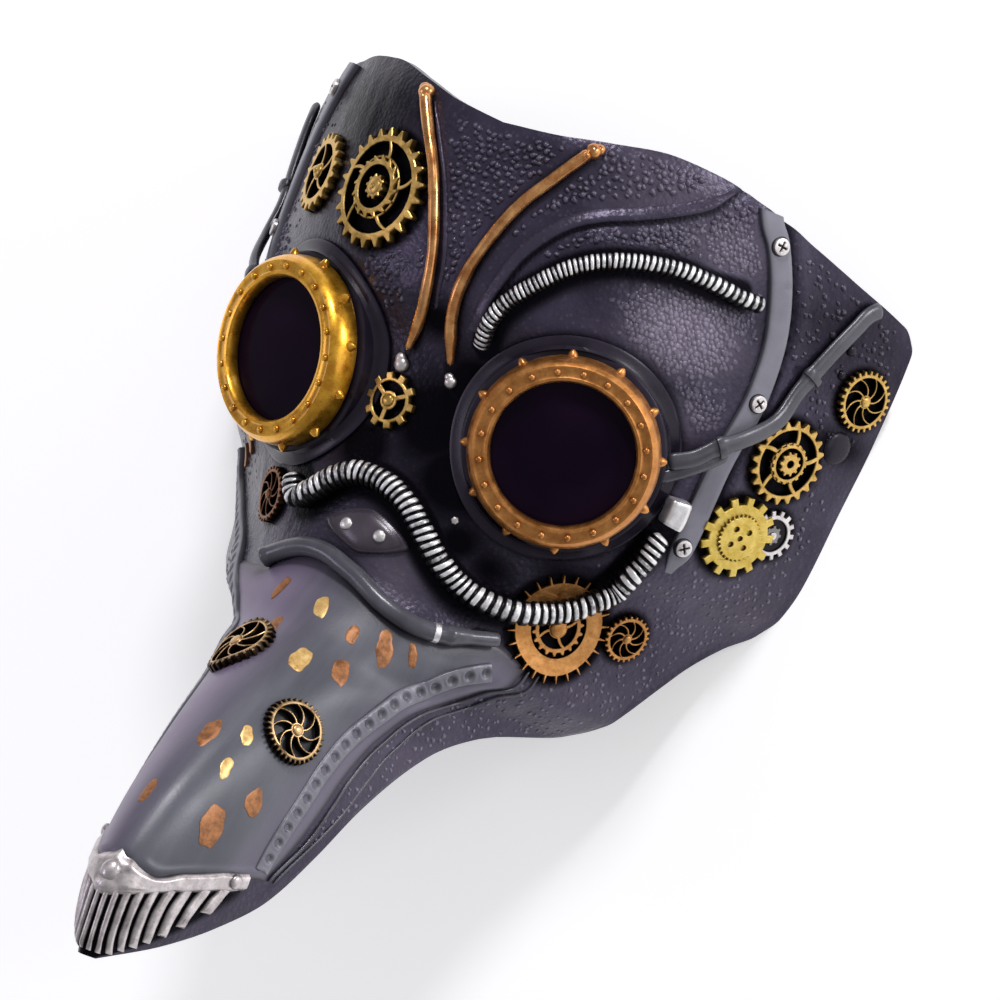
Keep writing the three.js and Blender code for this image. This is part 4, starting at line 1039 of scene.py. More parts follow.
def rim_faces(piece, rows, columns):
    """Joins the edge of the fine outer skin to the edge of the coarse inner one."""
    outer = np.arange(rows * columns).reshape(rows, columns)
    coarse = ((rows - 1) // INNER_STEP + 1, (columns - 1) // INNER_STEP + 1)
    inner = rows * columns + np.arange(coarse[0] * coarse[1]).reshape(coarse)
    for fine, plain in ((outer[:, 0], inner[:, 0]), (outer[:, -1], inner[:, -1]), (outer[0], inner[0]),
                        (outer[-1], inner[-1])):
        for i in range(len(plain) - 1):
            run = fine[i * INNER_STEP:(i + 1) * INNER_STEP + 1]
            piece.faces.append([*run.tolist(), int(plain[i + 1]), int(plain[i])])


def build_beak():
    """The smooth panel on top of the beak, from the pipe at its root to the chevron."""
    half = BEAK_SEAM[0][0]
    top_x, top_edge = zip((-half, -64.0), *ROOT_PIPE, (half, -64.0))
    u, v = np.meshgrid(np.linspace(-1, 1, 91), np.linspace(0, 1, 121))
    top_y = smooth_table(top_x, top_edge)(u * half)
    low_y = chevron_top_at(np.abs(u) * 19.5) - 0.9
    y = top_y + (low_y - top_y) * v
    x = u * seam_at(y)
    edge = np.minimum(1 - np.abs(u), np.minimum(v, 1 - v) * 2.2)
    lift = 0.75 * ease(0, 0.05, edge) - 0.15 + 0.2 * swing(x / 9, y / 16, 5)
    lift = lift + 0.45 * bell(v - 0.968, 0.011) * ease(0.2, 0.35, np.abs(u)) * ease(1.0, 0.9, np.abs(u))
    # Painted shade at the panel's edges, below the pipe and under the two gears
    shade = ease(0.0, 0.03, edge) * (0.35 + 0.65 * ease(0, 0.09, v))
    for gear in ("gear_beak_side", "gear_beak_top"):
        gear_x, gear_y, radius = GEAR_PLACES[gear]
        away = np.linalg.norm(on_skin(x, y) - on_skin(gear_x, gear_y), axis=-1)
        shade = shade * ease(radius - 1.6, radius + 0.6, away)
    piece = Piece()
    sheet(piece, on_skin(x, y, lift), on_skin(x, y, -0.5), shade)
    # Painted lilac rim light on the left side, and a little on the right edge
    lilac = np.clip(ease(0.15, -0.5, u) + 0.4 * ease(0.72, 0.95, u), 0, 1)
    make(piece, "beak_panel", "beak_leather", "beak_plate", 60, {"lilac": np.tile(lilac.ravel(), 2)})


# Columns: radius, height, shade of a goggle's ring. The first row closes it
RING_PROFILE = (
    (18.2, -3.5, 0.2), (20.1, -3.5, 0.2), (20.1, -8, 0), (23.6, -8, 0.1), (24.2, -7.5, 0.5),
    (24.35, -6.2, 0.8), (24.3, -4.6, 0.95), (24.1, -3.0, 1), (23.7, -1.8, 1), (23.1, -0.8, 1),
    (22.4, -0.15, 1), (21.8, -0.3, 0.72), (20.0, -0.3, 0.75), (19.5, 0.0, 1), (18.8, -0.15, 1),
    (18.3, -0.9, 0.8), (18.2, -3.5, 0.2),
)
RING_LOOKS = {"left": "brass_ring", "right": "copper_ring"}
HEAD_ANGLES = around(20) + 0.1
HEADS_OUT = 20.9
STUD_ANGLES = around(12) + 0.26
STUDS_DOWN = 5.4
# Columns: radius, distance out, shade of a pointed stud on the side of a ring
STUD_PROFILE = ((1.5, 23.3, 0.2), (1.45, 24.3, 0.6), (0.95, 25.3, 1), (0.35, 25.9, 1))
# Columns: radius, height, shade of a lens, whose front bulges
LENS_RADIUS = 19.7
LENS_PROFILE = [(0.2, -5.9, 1), (LENS_RADIUS, -5.9, 1)] + [
    (LENS_RADIUS * share, -3.9 + 0.9 * (1 - share**2), 1) for share in np.linspace(1, 0.01, 14)]


def build_goggles():
    for word, goggle in GOGGLES.items():
        ring = Piece()
        stacked(ring, goggle.place, circle(1, 112), RING_PROFILE, caps=False)
        for angle in HEAD_ANGLES:
            at = (HEADS_OUT * math.cos(angle), HEADS_OUT * math.sin(angle))
            dome(ring, goggle.place, radius=0.9, floor=-0.4, height=0.95, sides=10, at=at)
        for angle in STUD_ANGLES:
            add_stud(ring, goggle, angle)
        make(ring, f"ring_{word}", RING_LOOKS[word], f"goggle_ring_{word}")
        lens = Piece()
        stacked(lens, goggle.place, circle(1, 72), LENS_PROFILE)
        make(lens, f"lens_{word}", "lens", f"goggle_lens_{word}", 50)
        build_cup(word, goggle)


def add_stud(piece, goggle, angle, sides=10):
    """A pointed stud that stands out from the side of a ring."""
    out = np.array([math.cos(angle), math.sin(angle), 0.0])
    side = np.array([-math.sin(angle), math.cos(angle), 0.0])
    up = np.array([0.0, 0.0, 1.0])
    loops = []
    for radius, reach, _ in STUD_PROFILE:
        flat = circle(radius, sides)
        loops.append(out * reach - up * STUDS_DOWN + flat[:, :1] * side + flat[:, 1:] * up)
    rings = np.array(loops)
    piece.add(goggle.place(rings), loft(rings), np.repeat([shade for *_, shade in STUD_PROFILE], sides))


# The dark cup: a flat top under the ring, a rolled lip and a flange that follows the skin.
# Columns: radius, height in the goggle's frame or above the skin, shade
CUP_TOP = ((20, -8.4, 0.3), (25.1, -8.4, 0.9), (25.7, -8.8, 1), (25.6, -9.6, 0.8))
CUP_FOOT = (
    (25.6, 2.6, 0.8), (26.4, 1.5, 0.75), (28.2, 1.25, 1), (28.9, 0.8, 1), (28.9, 0.15, 0.3),
    (24.2, 0.1, 0), (20, 0.1, 0),
)


def build_cup(word, goggle, sides=96, waist_down=0.55, waist_shade=0.75):
    top = [goggle.level(radius, height, sides) for radius, height, _ in CUP_TOP]
    foot = [goggle.foot(radius, sides) + goggle.sight * height for radius, height, _ in CUP_FOOT]
    waist = goggle.foot(CUP_FOOT[0][0], sides) * waist_down + top[-1] * (1 - waist_down)
    rings = np.array([*top, waist, *foot, top[0]])
    shade = [row[-1] for row in (*CUP_TOP, (waist_shade,), *CUP_FOOT, CUP_TOP[0])]
    piece = Piece()
    piece.add(rings, loft(rings, caps=False), np.repeat(shade, sides))
    make(piece, f"cup_{word}", "dark_metal", f"goggle_cup_{word}", 50)


def ribbed_hose(name, knots, radius, ribs, node, per_rib=9, sides=22):
    """A hose of rounded, deep-grooved ribs: worn silver crests with painted highlight on the upper sides."""
    phase = np.arange(ribs * per_rib + 1) / per_rib
    line = Line(knots, len(phase))
    angle = around(sides)
    wobble = lattice(np.floor(phase), 0, 8)[:, None]
    slant = 0.16 * np.cos(angle) * (0.5 + wobble)
    crest = ease(0.15, 0.85, np.abs(np.sin(math.pi * (phase[:, None] + slant))))
    body = (0.74 + 0.26 * crest + 0.03 * (wobble - 0.5)) * line.rounded(radius * 0.6)[:, None]
    lit = ease(0.15, 0.85, np.sin(angle) - 0.2 * np.cos(angle))
    piece = Piece()
    tube(piece, line, radius * body, sides, radius * 0.82, crest * lit * (0.72 + 0.42 * wobble))
    make(piece, name, "hose", node, 70)


CLIP = {"half": 2.9, "squareness": 6, "end": 0.82, "bevel": 1.2, "cap": 0.6}


def build_hoses():
    ribbed_hose("brow_hose_ribs", BROW_HOSE_RUN, 2.3, 56, "brow_hose")
    ribbed_hose("nose_hose_ribs", NOSE_HOSE, 3.2, 66, "nose_hose")
    line = Line(CLIP_RUN, 40)
    sides = 28
    power = CLIP["squareness"]
    square = np.sum(np.abs(circle(1, sides)) ** power, axis=1) ** (-1 / power)
    share = CLIP["end"] + (1 - CLIP["end"]) * line.rounded(CLIP["bevel"])
    share = share * np.where(np.minimum(line.along, line.to_go) < 0.02, CLIP["cap"], 1)
    piece = Piece()
    tube(piece, line, CLIP["half"] * square * share[:, None], sides, CLIP["half"])
    make(piece, "clip_block", "clip_silver", "hose_clip", 45)


# Columns: x, y, radius, height of the lumps at the top of a brow rod
ROD_LUMPS = ((0.6, 0.6, 2.2, 2.9), (1.9, 1.6, 1.5, 2.2), (-0.4, -1.4, 1.3, 3.2))
ROD = {"radius": 1.5, "base": 1.1, "thin": 0.62, "taper": 8, "end": 1.6}
BEAD = {"x": 7.1, "y": -3.4, "size": {"left": 2.0, "right": 1.6}}


def build_rods():
    sides = 16
    angle = around(sides)
    for word, side in SIDES:
        line = Line(BROW_ROD, 150, side)
        along = line.along[:, None]
        wave = soft_noise(line.along / 5, side, 31)
        flute = 1 + 0.07 * soft_noise(along / 7, angle * 1.4, 17 + side)
        taper = ROD["thin"] + (1 - ROD["thin"]) * ease(0, ROD["taper"], line.to_go)
        radius = ROD["radius"] * taper * (0.9 + 0.2 * wave) * line.rounded(ROD["end"])
        # Painted highlight in random streaks and on the upper side
        streak = soft_noise(along / 9, angle * 2.2, 41 + side)
        shade = ease(0.15, 0.7, streak) * 0.5 + 0.5 * ease(-0.9, 0.3, np.sin(angle))
        piece = Piece()
        tube(piece, line, radius[:, None] * flute, sides, ROD["base"], shade)
        place = seat(side * BROW_ROD[0][0], BROW_ROD[0][1])
        for x, y, lump, height in ROD_LUMPS:
            dome(piece, place, lump, 0.1, height, 9, 4, at=(side * x, y))
        make(piece, f"rod_{word}", "copper_rod", f"brow_rod_{word}", 55)
        place = seat(side * BEAD["x"], BEAD["y"])
        size = BEAD["size"][word]
        bead = Piece()
        dome(bead, place, size, 0.1, size, 16, 6)
        dome(bead, place, size * 0.75, 0.1, size * 0.85, 14, 5, at=(-0.7, size * 0.7))
        make(bead, f"bridge_bead_{word}", "silver", f"bridge_rivet_{word}")


# Fall of the mask's top edge for each millimetre outward, where the bands meet it
EDGE_SLOPE = 0.5
BAND = {"half": 3.2, "thick": 1.3, "floor": -0.2, "crown": 0.15, "dent": 19.5, "dent_in": 1.5}
# Columns: share of a band's half width, share of its thickness, shade
BAND_SECTION = (
    (-1, -0.6, 0.2), (-1, 0.55, 0.5), (-0.95, 0.85, 0.9), (-0.86, 1, 1), (-0.5, 1, 1), (0, 1, 1), (0.5, 1, 1),
    (0.86, 1, 1), (0.95, 0.85, 0.9), (1, 0.55, 0.5), (1, -0.6, 0.2),
)
# Columns: x, y of a band's screws
BAND_SCREWS = ((64.4, 57.2), (70.2, 18.6), (64.6, -21.5))
# Columns: radius, height, shade of the dark washer round a screw
WASHER = ((2.65, 1.2, 0.0), (2.65, 1.6, 0.05), (2.3, 1.7, 0.05))
STRAP = {"radius": 2.3, "base": 1.8, "flatten": 0.55, "keepers": (14.0, 46.5), "keeper_radius": 3.0}
TAIL = {"radius": 1.7, "base": 1.7, "flatten": 0.6}
# Columns: step along the strap, share of the keeper's radius
KEEPER = ((-1.0, 0.86), (-0.9, 1.0), (0.0, 1.06), (0.9, 1.0), (1.0, 0.86))


def build_bands():
    for word, side in SIDES:
        build_band(word, side)
        build_strap(word, side)
        for number, (x, y) in enumerate(BAND_SCREWS, 1):
            place = seat(side * x, y)
            screw = Piece()
            cross_screw(screw, place, 2.3, 1.4, 1.4, 0.5 + number)
            stacked(screw, place, circle(1, 40), WASHER)
            make(screw, f"screw_{word}_{number}", "silver", f"band_screw_{word}_{number}")


def build_band(word, side):
    """A flat strap with rounded edges, cut along the top edge and running out at its lower end."""
    line = Line(BAND_RUN, 120, side)
    share, level, shade = np.transpose(BAND_SECTION)
    fade = ease(0, 8, line.to_go)[:, None]
    across = BAND["half"] * share * (0.3 + 0.7 * fade)
    up = BAND["thick"] * level + BAND["crown"] * (1 - share**2) * (level > 0) + BAND["floor"]
    up = up * fade - 0.5 * (1 - fade)
    dent_away = np.hypot(across + BAND["dent_in"] * side, (line.along - BAND["dent"])[:, None])
    up = up - 0.5 * bell(dent_away, 0.8)
    across = across * (1 + 0.04 * swing(line.along / 12, 0, 3))[:, None]
    skew = -EDGE_SLOPE * side * across * ease(12, 0, line.along)[:, None]
    rings = line.rings(across, up) + skew[..., None] * line.ahead[:, None]
    piece = Piece()
    piece.add(rings, loft(rings), np.tile(shade, len(rings)))
    make(piece, f"band_{word}", "grey_strap", f"temple_band_{word}", 50)


def build_strap(word, side, sides=24):
    """A flattened tube with two keepers, and the tail that lies beside it."""
    line = Line(STRAP_RUN, 140, side)
    swell = 1 + 0.22 * sum(bell(line.along - at, 1.3) for at in STRAP["keepers"])
    swell = swell + 0.05 * swing(line.along / 8, 2, 6)
    lit = ease(-0.5, 0.4, np.sin(around(sides)))
    piece = Piece()
    radius = STRAP["radius"] * swell * line.rounded(1.5)
    tube(piece, line, radius, sides, STRAP["base"], 0.15 + 0.85 * lit, STRAP["flatten"])
    keeper = STRAP["keeper_radius"]
    for at in STRAP["keepers"]:
        i = int(np.argmin(np.abs(line.along - at)))
        collar(piece, line, i, KEEPER, keeper, keeper, STRAP["flatten"], 0.2 + 0.75 * lit)
    tail = Line(STRAP_TAIL, 40, side)
    thin = TAIL["radius"] * tail.rounded(1.4)
    tube(piece, tail, thin, sides, TAIL["base"], 0.15 + 0.85 * lit, TAIL["flatten"])
    make(piece, f"strap_{word}", "dark_strap", f"goggle_strap_{word}", 55)


SHIELD_Y = -45.8
SHIELD_SCREW_X = 4.6
# Columns: share of the outline, height, shade of the shield under the nose
SHIELD_PROFILE = (
    (1.0, 0.0, 0.1), (1.02, 0.5, 1), (1.0, 1.1, 1), (0.94, 1.5, 1), (0.88, 1.55, 0.6), (0.8, 1.95, 1),
    (0.65, 2.35, 1), (0.45, 2.65, 1), (0.25, 2.75, 1), (0.02, 2.8, 1),
)


def build_nose(sides=72, reach_across=12.0, reach_up=5.8, reach_down=5.6, corner=1.35):
    flat = circle(1, sides)
    across, upright = np.abs(flat).T
    upright = upright / np.where(flat[:, 1] > 0, reach_up, reach_down)
    outline = ((across / reach_across) ** corner + upright**corner) ** (-1 / corner)
    piece = Piece()
    stacked(piece, seat(0, SHIELD_Y), flat * outline[:, None], SHIELD_PROFILE)
    make(piece, "nose_shield", "nose_cap_gloss", "nose_cap", 50)
    for word, side in SIDES:
        screw = Piece()
        place = seat(side * SHIELD_SCREW_X, SHIELD_Y)
        dome(screw, place, radius=1.75, floor=2.2, height=1.25, sides=20, rings=6)
        make(screw, f"nose_screw_{word}", "silver", f"cap_screw_{word}")


PIPE = {"radius": 2.45, "base": 2.2, "ring": 0.82, "thin": 0.22}
# Columns: step along the pipe, share of its radius
PIPE_RING = ((-0.9, 0.94), (-0.7, 1.06), (0.7, 1.06), (0.9, 0.94))


def build_pipe(sides=20):
    line = Line(ROOT_PIPE, 150)
    total = line.along[-1]
    swell = 1 + 0.14 * bell(line.along - PIPE["ring"] * total, 1.1) + 0.18 * bell(line.along - 1.4, 1.0)
    thin = 1 - PIPE["thin"] * ease(0.84, 0.9, line.along / total)
    # Painted shade on the pipe's lower side
    shade = 0.1 + 0.9 * ease(-0.6, 0.35, np.sin(around(sides)))
    piece = Piece()
    tube(piece, line, PIPE["radius"] * swell * thin * line.rounded(1.0), sides, PIPE["base"], shade)
    make(piece, "root_pipe_tube", "root_pipe_leather", "root_pipe", 60)
    bead = Piece()
    i = int(PIPE["ring"] * len(line.centre))
    collar(bead, line, i, PIPE_RING, PIPE["radius"], PIPE["base"], 1.0, np.full(sides, 0.95))
    make(bead, "root_pipe_ring", "clip_silver")


# Columns: share of a strip's half width, height, shade
STRIP_SECTION = (
    (-1, -1.2, 0), (-1, 0.3, 0.5), (-0.88, 0.6, 1), (-0.66, 0.72, 1), (-0.44, 0.8, 1), (-0.22, 0.85, 1),
    (0, 0.85, 1), (0.22, 0.85, 1), (0.44, 0.8, 1), (0.66, 0.72, 1), (0.88, 0.6, 1), (1, 0.3, 0.5),
    (1, -1.2, 0),
)
STRIP = {"half": 2.5, "first": 1.6, "pitch": 4.55, "dent": 0.8}
# Columns: distance out from the seam, radius of a raised line
SEAM_LINES = ((0.8, 0.42), (2.6, 0.34))


def dimpled_strip(word, knots, side):
    """A flat strip with a row of round dimples."""
    line = Line(knots, 330, side)
    share, height, shade = np.transpose(STRIP_SECTION)
    across = np.tile(STRIP["half"] * share, (len(line.centre), 1))
    pitch = STRIP["pitch"]
    offset = np.mod(line.along - STRIP["first"] + pitch / 2, pitch) - pitch / 2
    away = np.hypot(across - 0.1, offset[:, None])
    dent = ease(1.6, 0.6, away)
    rings = line.rings(across, height - STRIP["dent"] * dent + 0.12 * bell(away - 1.7, 0.3))
    piece = Piece()
    # Painted shade in the dimples and on the strip's sides
    piece.add(rings, loft(rings), (1 - 0.5 * dent) * shade)
    make(piece, f"strip_{word}", "beak_strip", f"beak_strip_{word}", 60)


def build_strips():
    dimpled_strip("right", STRIP_RUN, 1)
    dimpled_strip("left", CHEEK_STRIP + STRIP_RUN, -1)
    for word, side in SIDES:
        seams = Piece()
        for shift, radius in SEAM_LINES:
            knots = [(min(x + shift, float(half_at(y)) - 2.0 + 0.3 * shift), y) for x, y in BEAK_SEAM]
            line = Line(knots, 150, side, -0.1)
            tube(seams, line, radius * line.rounded(1.5), 8, 0.15)
        make(seams, f"seam_lines_{word}", "dark_strap", None, 60)


# Columns: x, y, half length, half width, turn in degrees
GOLD_FLECKS = (
    (-0.2, -67.5, 3.9, 1.9, 108), (4.8, -81.3, 5.0, 2.5, 106), (7.6, -103.2, 2.9, 1.8, 118),
    (8.2, -112, 3.6, 1.5, 104),
)
COPPER_FLECKS = (
    (13.4, -80.8, 4.2, 2.4, 110), (10.4, -71.1, 3.3, 1.5, 108), (18.1, -71.9, 5.0, 2.4, 112),
    (-8.1, -75.9, 4.2, 1.6, 100), (0.2, -105.7, 5.0, 2.2, 88), (15.2, -117.5, 3.7, 2.5, 106),
    (12, -126.4, 5.7, 3.5, 102), (-3.3, -123.8, 4.2, 1.8, 88), (23.5, -70.6, 3.3, 1.3, 112),
    (-14.5, -66.5, 4.0, 1.5, 84), (-55.2, -34.7, 3.5, 1.5, 100), (-59.1, -38.7, 3.2, 1.3, 100),
)
# Columns: share of the outline, height, shade of a fleck
FLECK_PROFILE = ((1.0, -0.35, 0.2), (0.98, 0.65, 0.5), (0.88, 0.73, 1), (0.5, 0.76, 1), (0.03, 0.77, 1))
FLECKS = (("gold_flecks", "gold_leaf", GOLD_FLECKS), ("copper_flecks", "copper_leaf", COPPER_FLECKS))


def build_flecks(sides=26):
    angle = around(sides)
    close = ease(5.4, 6.28, angle)
    for name, look, table in FLECKS:
        piece = Piece()
        for number, (x, y, length, width, turn) in enumerate(table):
            ragged = 0.82 + 0.36 * soft_noise(angle * 1.9, number, 51)
            ragged = ragged * (1 - close) + ragged[0] * close
            a, b = length * np.cos(angle) * ragged, width * np.sin(angle) * ragged
            cos, sin = math.cos(math.radians(turn)), math.sin(math.radians(turn))
            flat = np.column_stack([a * cos - b * sin, a * sin + b * cos])
            stacked(piece, seat(x, y), flat, FLECK_PROFILE)
        make(piece, name, look, None, 50)


# The comb of bars below the chevron. Each bar leans a little more to the middle than the one before
COMB = {"bars": 9, "first": 0.9, "pitch": 2.0, "lean": 0.02, "reach": 0.84, "half": 0.72, "least": 1.8}


def add_bar(piece, side, bar):
    """One bar of the comb, from the chevron down to its share of the tip's half width."""
    middle = COMB["first"] + COMB["pitch"] * bar
    lean = COMB["lean"] * bar
    start = float(chevron_low_at(middle)) + 0.5
    down = np.linspace(0, 24, 200)
    share = (middle - lean * down) / half_at(start - down)
    inside = (share < COMB["reach"]) & (start - down > TIP_Y + 1.6)
    length = max(float(down[np.argmin(inside)]), COMB["least"])
    v, across = np.meshgrid(np.linspace(0, 1, 16), np.linspace(-1, 1, 7), indexing="ij")
    half = COMB["half"] * (1 - 0.25 * v**2) * (0.9 + 0.25 * soft_noise(v * 4, bar, 81 + side))
    x = side * (middle - lean * length * v) + across * half
    y = start - length * v
    height = 0.25 + 0.95 * (1 - np.abs(across) ** 3) * ease(1.02, 0.9, v)
    shade = ease(1.05, 0.6, np.abs(across)) * (0.65 + 0.35 * soft_noise(v * 5, across + bar, 91))
    sheet(piece, on_skin(x, y, height), on_skin(x, y, -0.4), shade)


def build_tip():
    piece = Piece()
    x, v = np.meshgrid(np.linspace(-CHEVRON_HALF, CHEVRON_HALF, 121), np.linspace(0, 1, 15))
    top, bottom = chevron_top_at(np.abs(x)), chevron_low_at(np.abs(x))
    ragged = 0.7 * swing(x / 1.6 + 40, 0, 61)
    y = top + ragged * (1 - v) + (bottom + 0.6 * ragged - top) * v
    edge = np.minimum(v, 1 - v)
    lift = 0.7 + 1.0 * ease(0, 0.22, edge) + 0.35 * swing(x / 2.2, y / 2.2, 71)
    lift = lift + 0.5 * bell(x, 1.2) * ease(0.2, 0.9, v)
    # Painted shade towards the chevron's edges
    sheet(piece, on_skin(x, y, lift), on_skin(x, y, -0.4), 0.55 + 0.45 * ease(0, 0.15, edge))
    for _, side in SIDES:
        for bar in range(COMB["bars"]):
            add_bar(piece, side, bar)
    make(piece, "tip_chevron", "tip_silver", "tip_cap", 55)
    boss = Piece()
    place = seat(0, -144.6)
    dome(boss, place, 2.7, 1.4, 1.5, 22, 6)
    dome(boss, place, 1.4, 1.3, 0.9, 14, 5, at=(-0.4, -3.6))
    make(boss, "tip_ball", "tip_silver", "tip_boss", 60)
    for word, side in SIDES:
        rivet = Piece()
        place = seat(side * 17.4, -137.2)
        dome(rivet, place, 1.9, 1.4, 1.6, 18, 5)
        point = np.array([(2.1, -1.0), (4.2, 0.9), (2.0, 1.3)])[::side] * (side, 1)
        plate(rivet, place, point, (), 0.2, 1.4, 0.2)
        make(rivet, f"tip_stud_{word}", "tip_silver", f"tip_rivet_{word}", 60)


# Columns: x, y, radius, height of small round heads on the right temple
TEMPLE_STUDS = (
    (81.7, 39.7, 1.5, 1.3), (81.6, 33.0, 1.3, 1.1), (78.2, 41.5, 1.1, 0.9), (84.3, 15.4, 4.4, 1.4),
)


def build_studs():
    studs = Piece()
    for x, y, radius, height in TEMPLE_STUDS:
        dome(studs, seat(x, y), radius, -0.4, height + 0.2, 20, 6)
    make(studs, "temple_studs", "dark_metal", None, 60)
    bolt = Piece()
    dome(bolt, seat(19.7, -35.4), radius=1.2, floor=-0.4, height=1.3, sides=6, shade=0.8, flat=0.5)
    make(bolt, "cheek_bolt", "silver", None, 30)


# Gears are stacked discs that start a little below the skin
SUNK = -0.3


class Gear:
    """One gear on the skin, with its node's radius."""

    def __init__(self, node):
        x, y, self.radius = GEAR_PLACES[node]
        self.place = seat(x, y)
        self.piece = Piece()

    def disc(self, outline, holes, top, bevel=0.22, floor=SUNK, shade=1.0, tooth=None):
        plate(self.piece, self.place, outline, holes, floor, top, bevel, shade, tooth)

    def hub(self, radius, floor, height, sides, rings, flat=0.0):
        dome(self.piece, self.place, radius, floor, height, sides, rings, 1.0, flat)


def fan_wheel(teeth, depth, twist, top, tooth=0.8):
    """A thin rim with fine teeth, eight curved spokes and a small hub."""
    def fill(gear):
        rim = gear.radius - depth
        windows = spoke_windows(8, rim * 0.25, rim - 0.85, 0.5, twist)
        gear.disc(toothed(gear.radius, depth, teeth, 0.16, 0.28), windows, top, 0.16, tooth=tooth)
        gear.hub(rim * 0.2, top - 0.1, 0.8, 16, 5)
    return fill


# The numbers below are, for toothed: radius, depth, teeth, tip, root, lean; for spoke_windows: count, near,
# far, spoke, twist, turn; for hole: radius, sides; for disc: top, bevel, floor, shade; for hub: radius,
# floor, height, sides, rings, flat
def brow_small(gear):
    windows = spoke_windows(5, 2.4, 7.4, 0.85, 0.35, 0.3)
    gear.disc(toothed(gear.radius, 1.5, 20, 0.1, 0.34), windows, 2.1, 0.18)
    gear.hub(1.9, 1.9, 1.2, 16, 5)
    gear.hub(0.9, 2.7, 0.8, 12, 4)


def brow_large(gear):
    windows = spoke_windows(5, 8.3, 12.0, 1.1, 0.18, 0.2)
    gear.disc(toothed(gear.radius, 2.0, 22, 0.07, 0.27), windows + [hole(7.6, 40)], 2.3)
    gear.disc(toothed(8.2, 1.2, 16, 0.08, 0.3, 0.25), [hole(5.7, 36)], 2.9, 0.16)
    gear.disc(toothed(3.3, 0.6, 10, 0.14, 0.3), (), 2.8, 0.2)
    gear.hub(2.1, 2.6, 0.8, 18, 4)
    gear.hub(0.8, 3.3, 0.6, 12, 4)


def nose_wheel(gear):
    gear.disc(toothed(gear.radius, 1.4, 10, 0.2, 0.27), spoke_windows(3, 2.5, 4.9, 1.3, 0.0, 0.5), 2.0)
    gear.hub(1.7, 1.8, 1.1, 14, 4)


def temple_double(gear):
    windows = spoke_windows(5, 5.4, 8.6, 1.2, 0.12, 0.1)
    gear.disc(toothed(gear.radius, 1.5, 20, 0.1, 0.36), windows + [hole(4.9, 36)], 2.0)
    gear.disc(toothed(5.4, 0.5, 16, 0.2, 0.3), [hole(4.1, 36)], 2.5, 0.14)
    gear.disc(toothed(3.2, 0.6, 10, 0.14, 0.3), [hole(1.0, 16)], 2.9, 0.18)


def temple_plate(gear):
    gear.disc(toothed(gear.radius, 1.9, 13, 0.2, 0.25), (), 2.1)
    holes = [hole(0.75, 14, 2.9 * math.cos(angle), 2.9 * math.sin(angle)) for angle in around(4) + 0.6]
    gear.disc(toothed(6.3, 0.6, 30, 0.1, 0.3), holes + [hole(0.7, 14)], 2.75, 0.16, 1.9)


def temple_silver(gear):
    gear.disc(toothed(gear.radius, 1.2, 14, 0.2, 0.27), [hole(4.3, 36)], 1.5)
    gear.disc(circle(4.25, 30), (), 0.9, 0.1, shade=0.08)
    gear.disc(toothed(2.6, 0.5, 8, 0.16, 0.28), (), 1.3, 0.1, 0.8, 0.35)
    gear.hub(1.1, 1.2, 0.7, 12, 4)


def cheek_ring(gear):
    gear.disc(toothed(gear.radius, 2.0, 24, 0.035, 0.1), [hole(7.6, 44)], 1.7, 0.12)
    gear.disc(toothed(7.2, 0.9, 18, 0.1, 0.3), spoke_windows(4, 2.6, 5.2, 0.9, 0.2, 0.4), 1.4, 0.16)
    gear.hub(2.3, 1.2, 1.0, 20, 4, 0.5)


# Columns: node without its first word, look, how it is drawn
GEARS = (
    ("brow_small", "brass", brow_small),
    ("brow_large", "brass", brow_large),
    ("nose", "brass", nose_wheel),
    ("cheek_fan", "dark_copper", fan_wheel(26, 0.7, 0.55, 1.9)),
    ("beak_side", "pale_gold", fan_wheel(28, 1.0, 0.5, 2.6, 0.25)),
    ("beak_top", "pale_gold", fan_wheel(34, 0.8, 0.6, 2.9, 0.25)),
    ("temple_fan", "brass", fan_wheel(26, 0.9, 0.6, 2.0)),
    ("temple_double", "brass", temple_double),
    ("temple_plate", "bright_gold", temple_plate),
    ("temple_silver", "silver", temple_silver),
    ("cheek_ring", "copper", cheek_ring),
    ("cheek_small", "copper", fan_wheel(24, 0.6, 0.6, 1.9)),
)


def build_gears():
    for word, look, fill in GEARS:
        gear = Gear(f"gear_{word}")
        fill(gear)
        make(gear.piece, f"wheel_{word}", look, f"gear_{word}", 35)


# Camera at the photograph's angle: leaning to the right of the face and rolled
CAMERA = {"lean": 24.5, "roll": 20.55, "aim": (0.0252, 0.0221, 0.0621), "distance": 2.5, "lens": 360.0}
# Columns: name, place in metres to the right, up and toward the camera, size, power, colour
LIGHTS = (
    ("key", (0.1, 0.95, 0.7), 0.25, 6.4, (0.985, 0.965, 1.0)),
    ("side", (0.95, 0.4, 0.6), 0.3, 4.3, (1.0, 0.985, 1.0)),
    ("rim", (-1.05, 0.1, 0.3), 0.4, 1.3, (0.86, 0.78, 1.0)),
    ("fill", (0.9, -0.2, 0.9), 0.7, 1.2, (1.0, 1.0, 1.0)),
)
WORLD_COLOR = (0.97, 0.97, 1.0, 1.0)
WORLD_STRENGTH = 0.32
FLOOR_GLOW = 0.42
FLOOR_REACH = 3.0


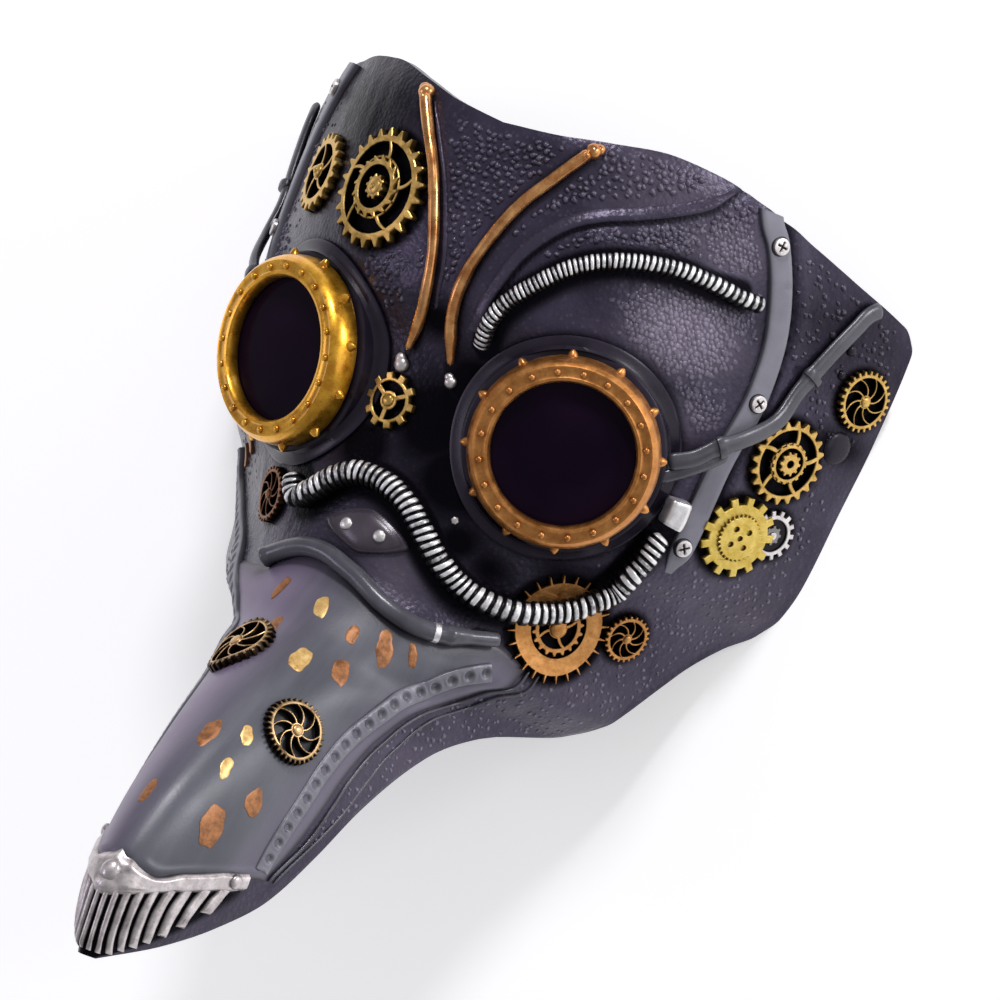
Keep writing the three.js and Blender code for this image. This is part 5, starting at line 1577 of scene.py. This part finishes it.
def build_stage():
    scene = bpy.context.scene
    lean, roll = math.radians(CAMERA["lean"]), math.radians(CAMERA["roll"])
    toward = Vector((math.sin(lean), 0, math.cos(lean)))
    level = Vector((math.cos(lean), 0, -math.sin(lean)))
    north = Vector((0, 1, 0))
    right = level * math.cos(roll) + north * math.sin(roll)
    up = north * math.cos(roll) - level * math.sin(roll)
    aim = Vector(CAMERA["aim"])
    data = bpy.data.cameras.new("camera")
    data.lens = CAMERA["lens"]
    data.sensor_width = 36.0
    data.clip_end = 20.0
    camera = bpy.data.objects.new("camera", data)
    turn = Matrix((right, up, toward)).transposed()
    camera.matrix_world = Matrix.Translation(aim + toward * CAMERA["distance"]) @ turn.to_4x4()
    scene.collection.objects.link(camera)
    scene.camera = camera

    for name, place, size, power, color in LIGHTS:
        offset = right * place[0] + up * place[1] + toward * place[2]
        lamp = bpy.data.lights.new(name, "AREA")
        lamp.shape = "DISK"
        lamp.size = size
        lamp.energy = power
        lamp.color = color
        holder = bpy.data.objects.new(name, lamp)
        holder.location = aim + offset
        holder.rotation_euler = offset.to_track_quat("Z", "Y").to_euler()
        scene.collection.objects.link(holder)

    world = bpy.data.worlds.new("studio")
    world.use_nodes = True
    background = world.node_tree.nodes["Background"]
    background.inputs["Color"].default_value = WORLD_COLOR
    background.inputs["Strength"].default_value = WORLD_STRENGTH
    scene.world = world
    scene.view_settings.view_transform = "Standard"

    corners = [(x * FLOOR_REACH, y * FLOOR_REACH, 0) for x, y in ((-1, -1), (1, -1), (1, 1), (-1, 1))]
    mesh = bpy.data.meshes.new("floor")
    mesh.from_pydata(corners, [], [(0, 1, 2, 3)])
    glow = {"Emission Color": (1.0, 1.0, 1.0, 1.0), "Emission Strength": FLOOR_GLOW}
    look = Shader("floor_paper", {"Roughness": 0.9, **glow})
    tone = look.noise(3.0, 2)
    mesh.materials.append(look.done(look.mix(tone, (0.9, 0.9, 0.9), (0.93, 0.93, 0.93))))
    floor = bpy.data.objects.new("floor", mesh)
    scene.collection.objects.link(floor)


build_stage()
build_shell()
build_pebbles()
build_welts()
build_beak()
build_goggles()
build_hoses()
build_rods()
build_bands()
build_nose()
build_pipe()
build_strips()
build_flecks()
build_tip()
build_studs()
build_gears()
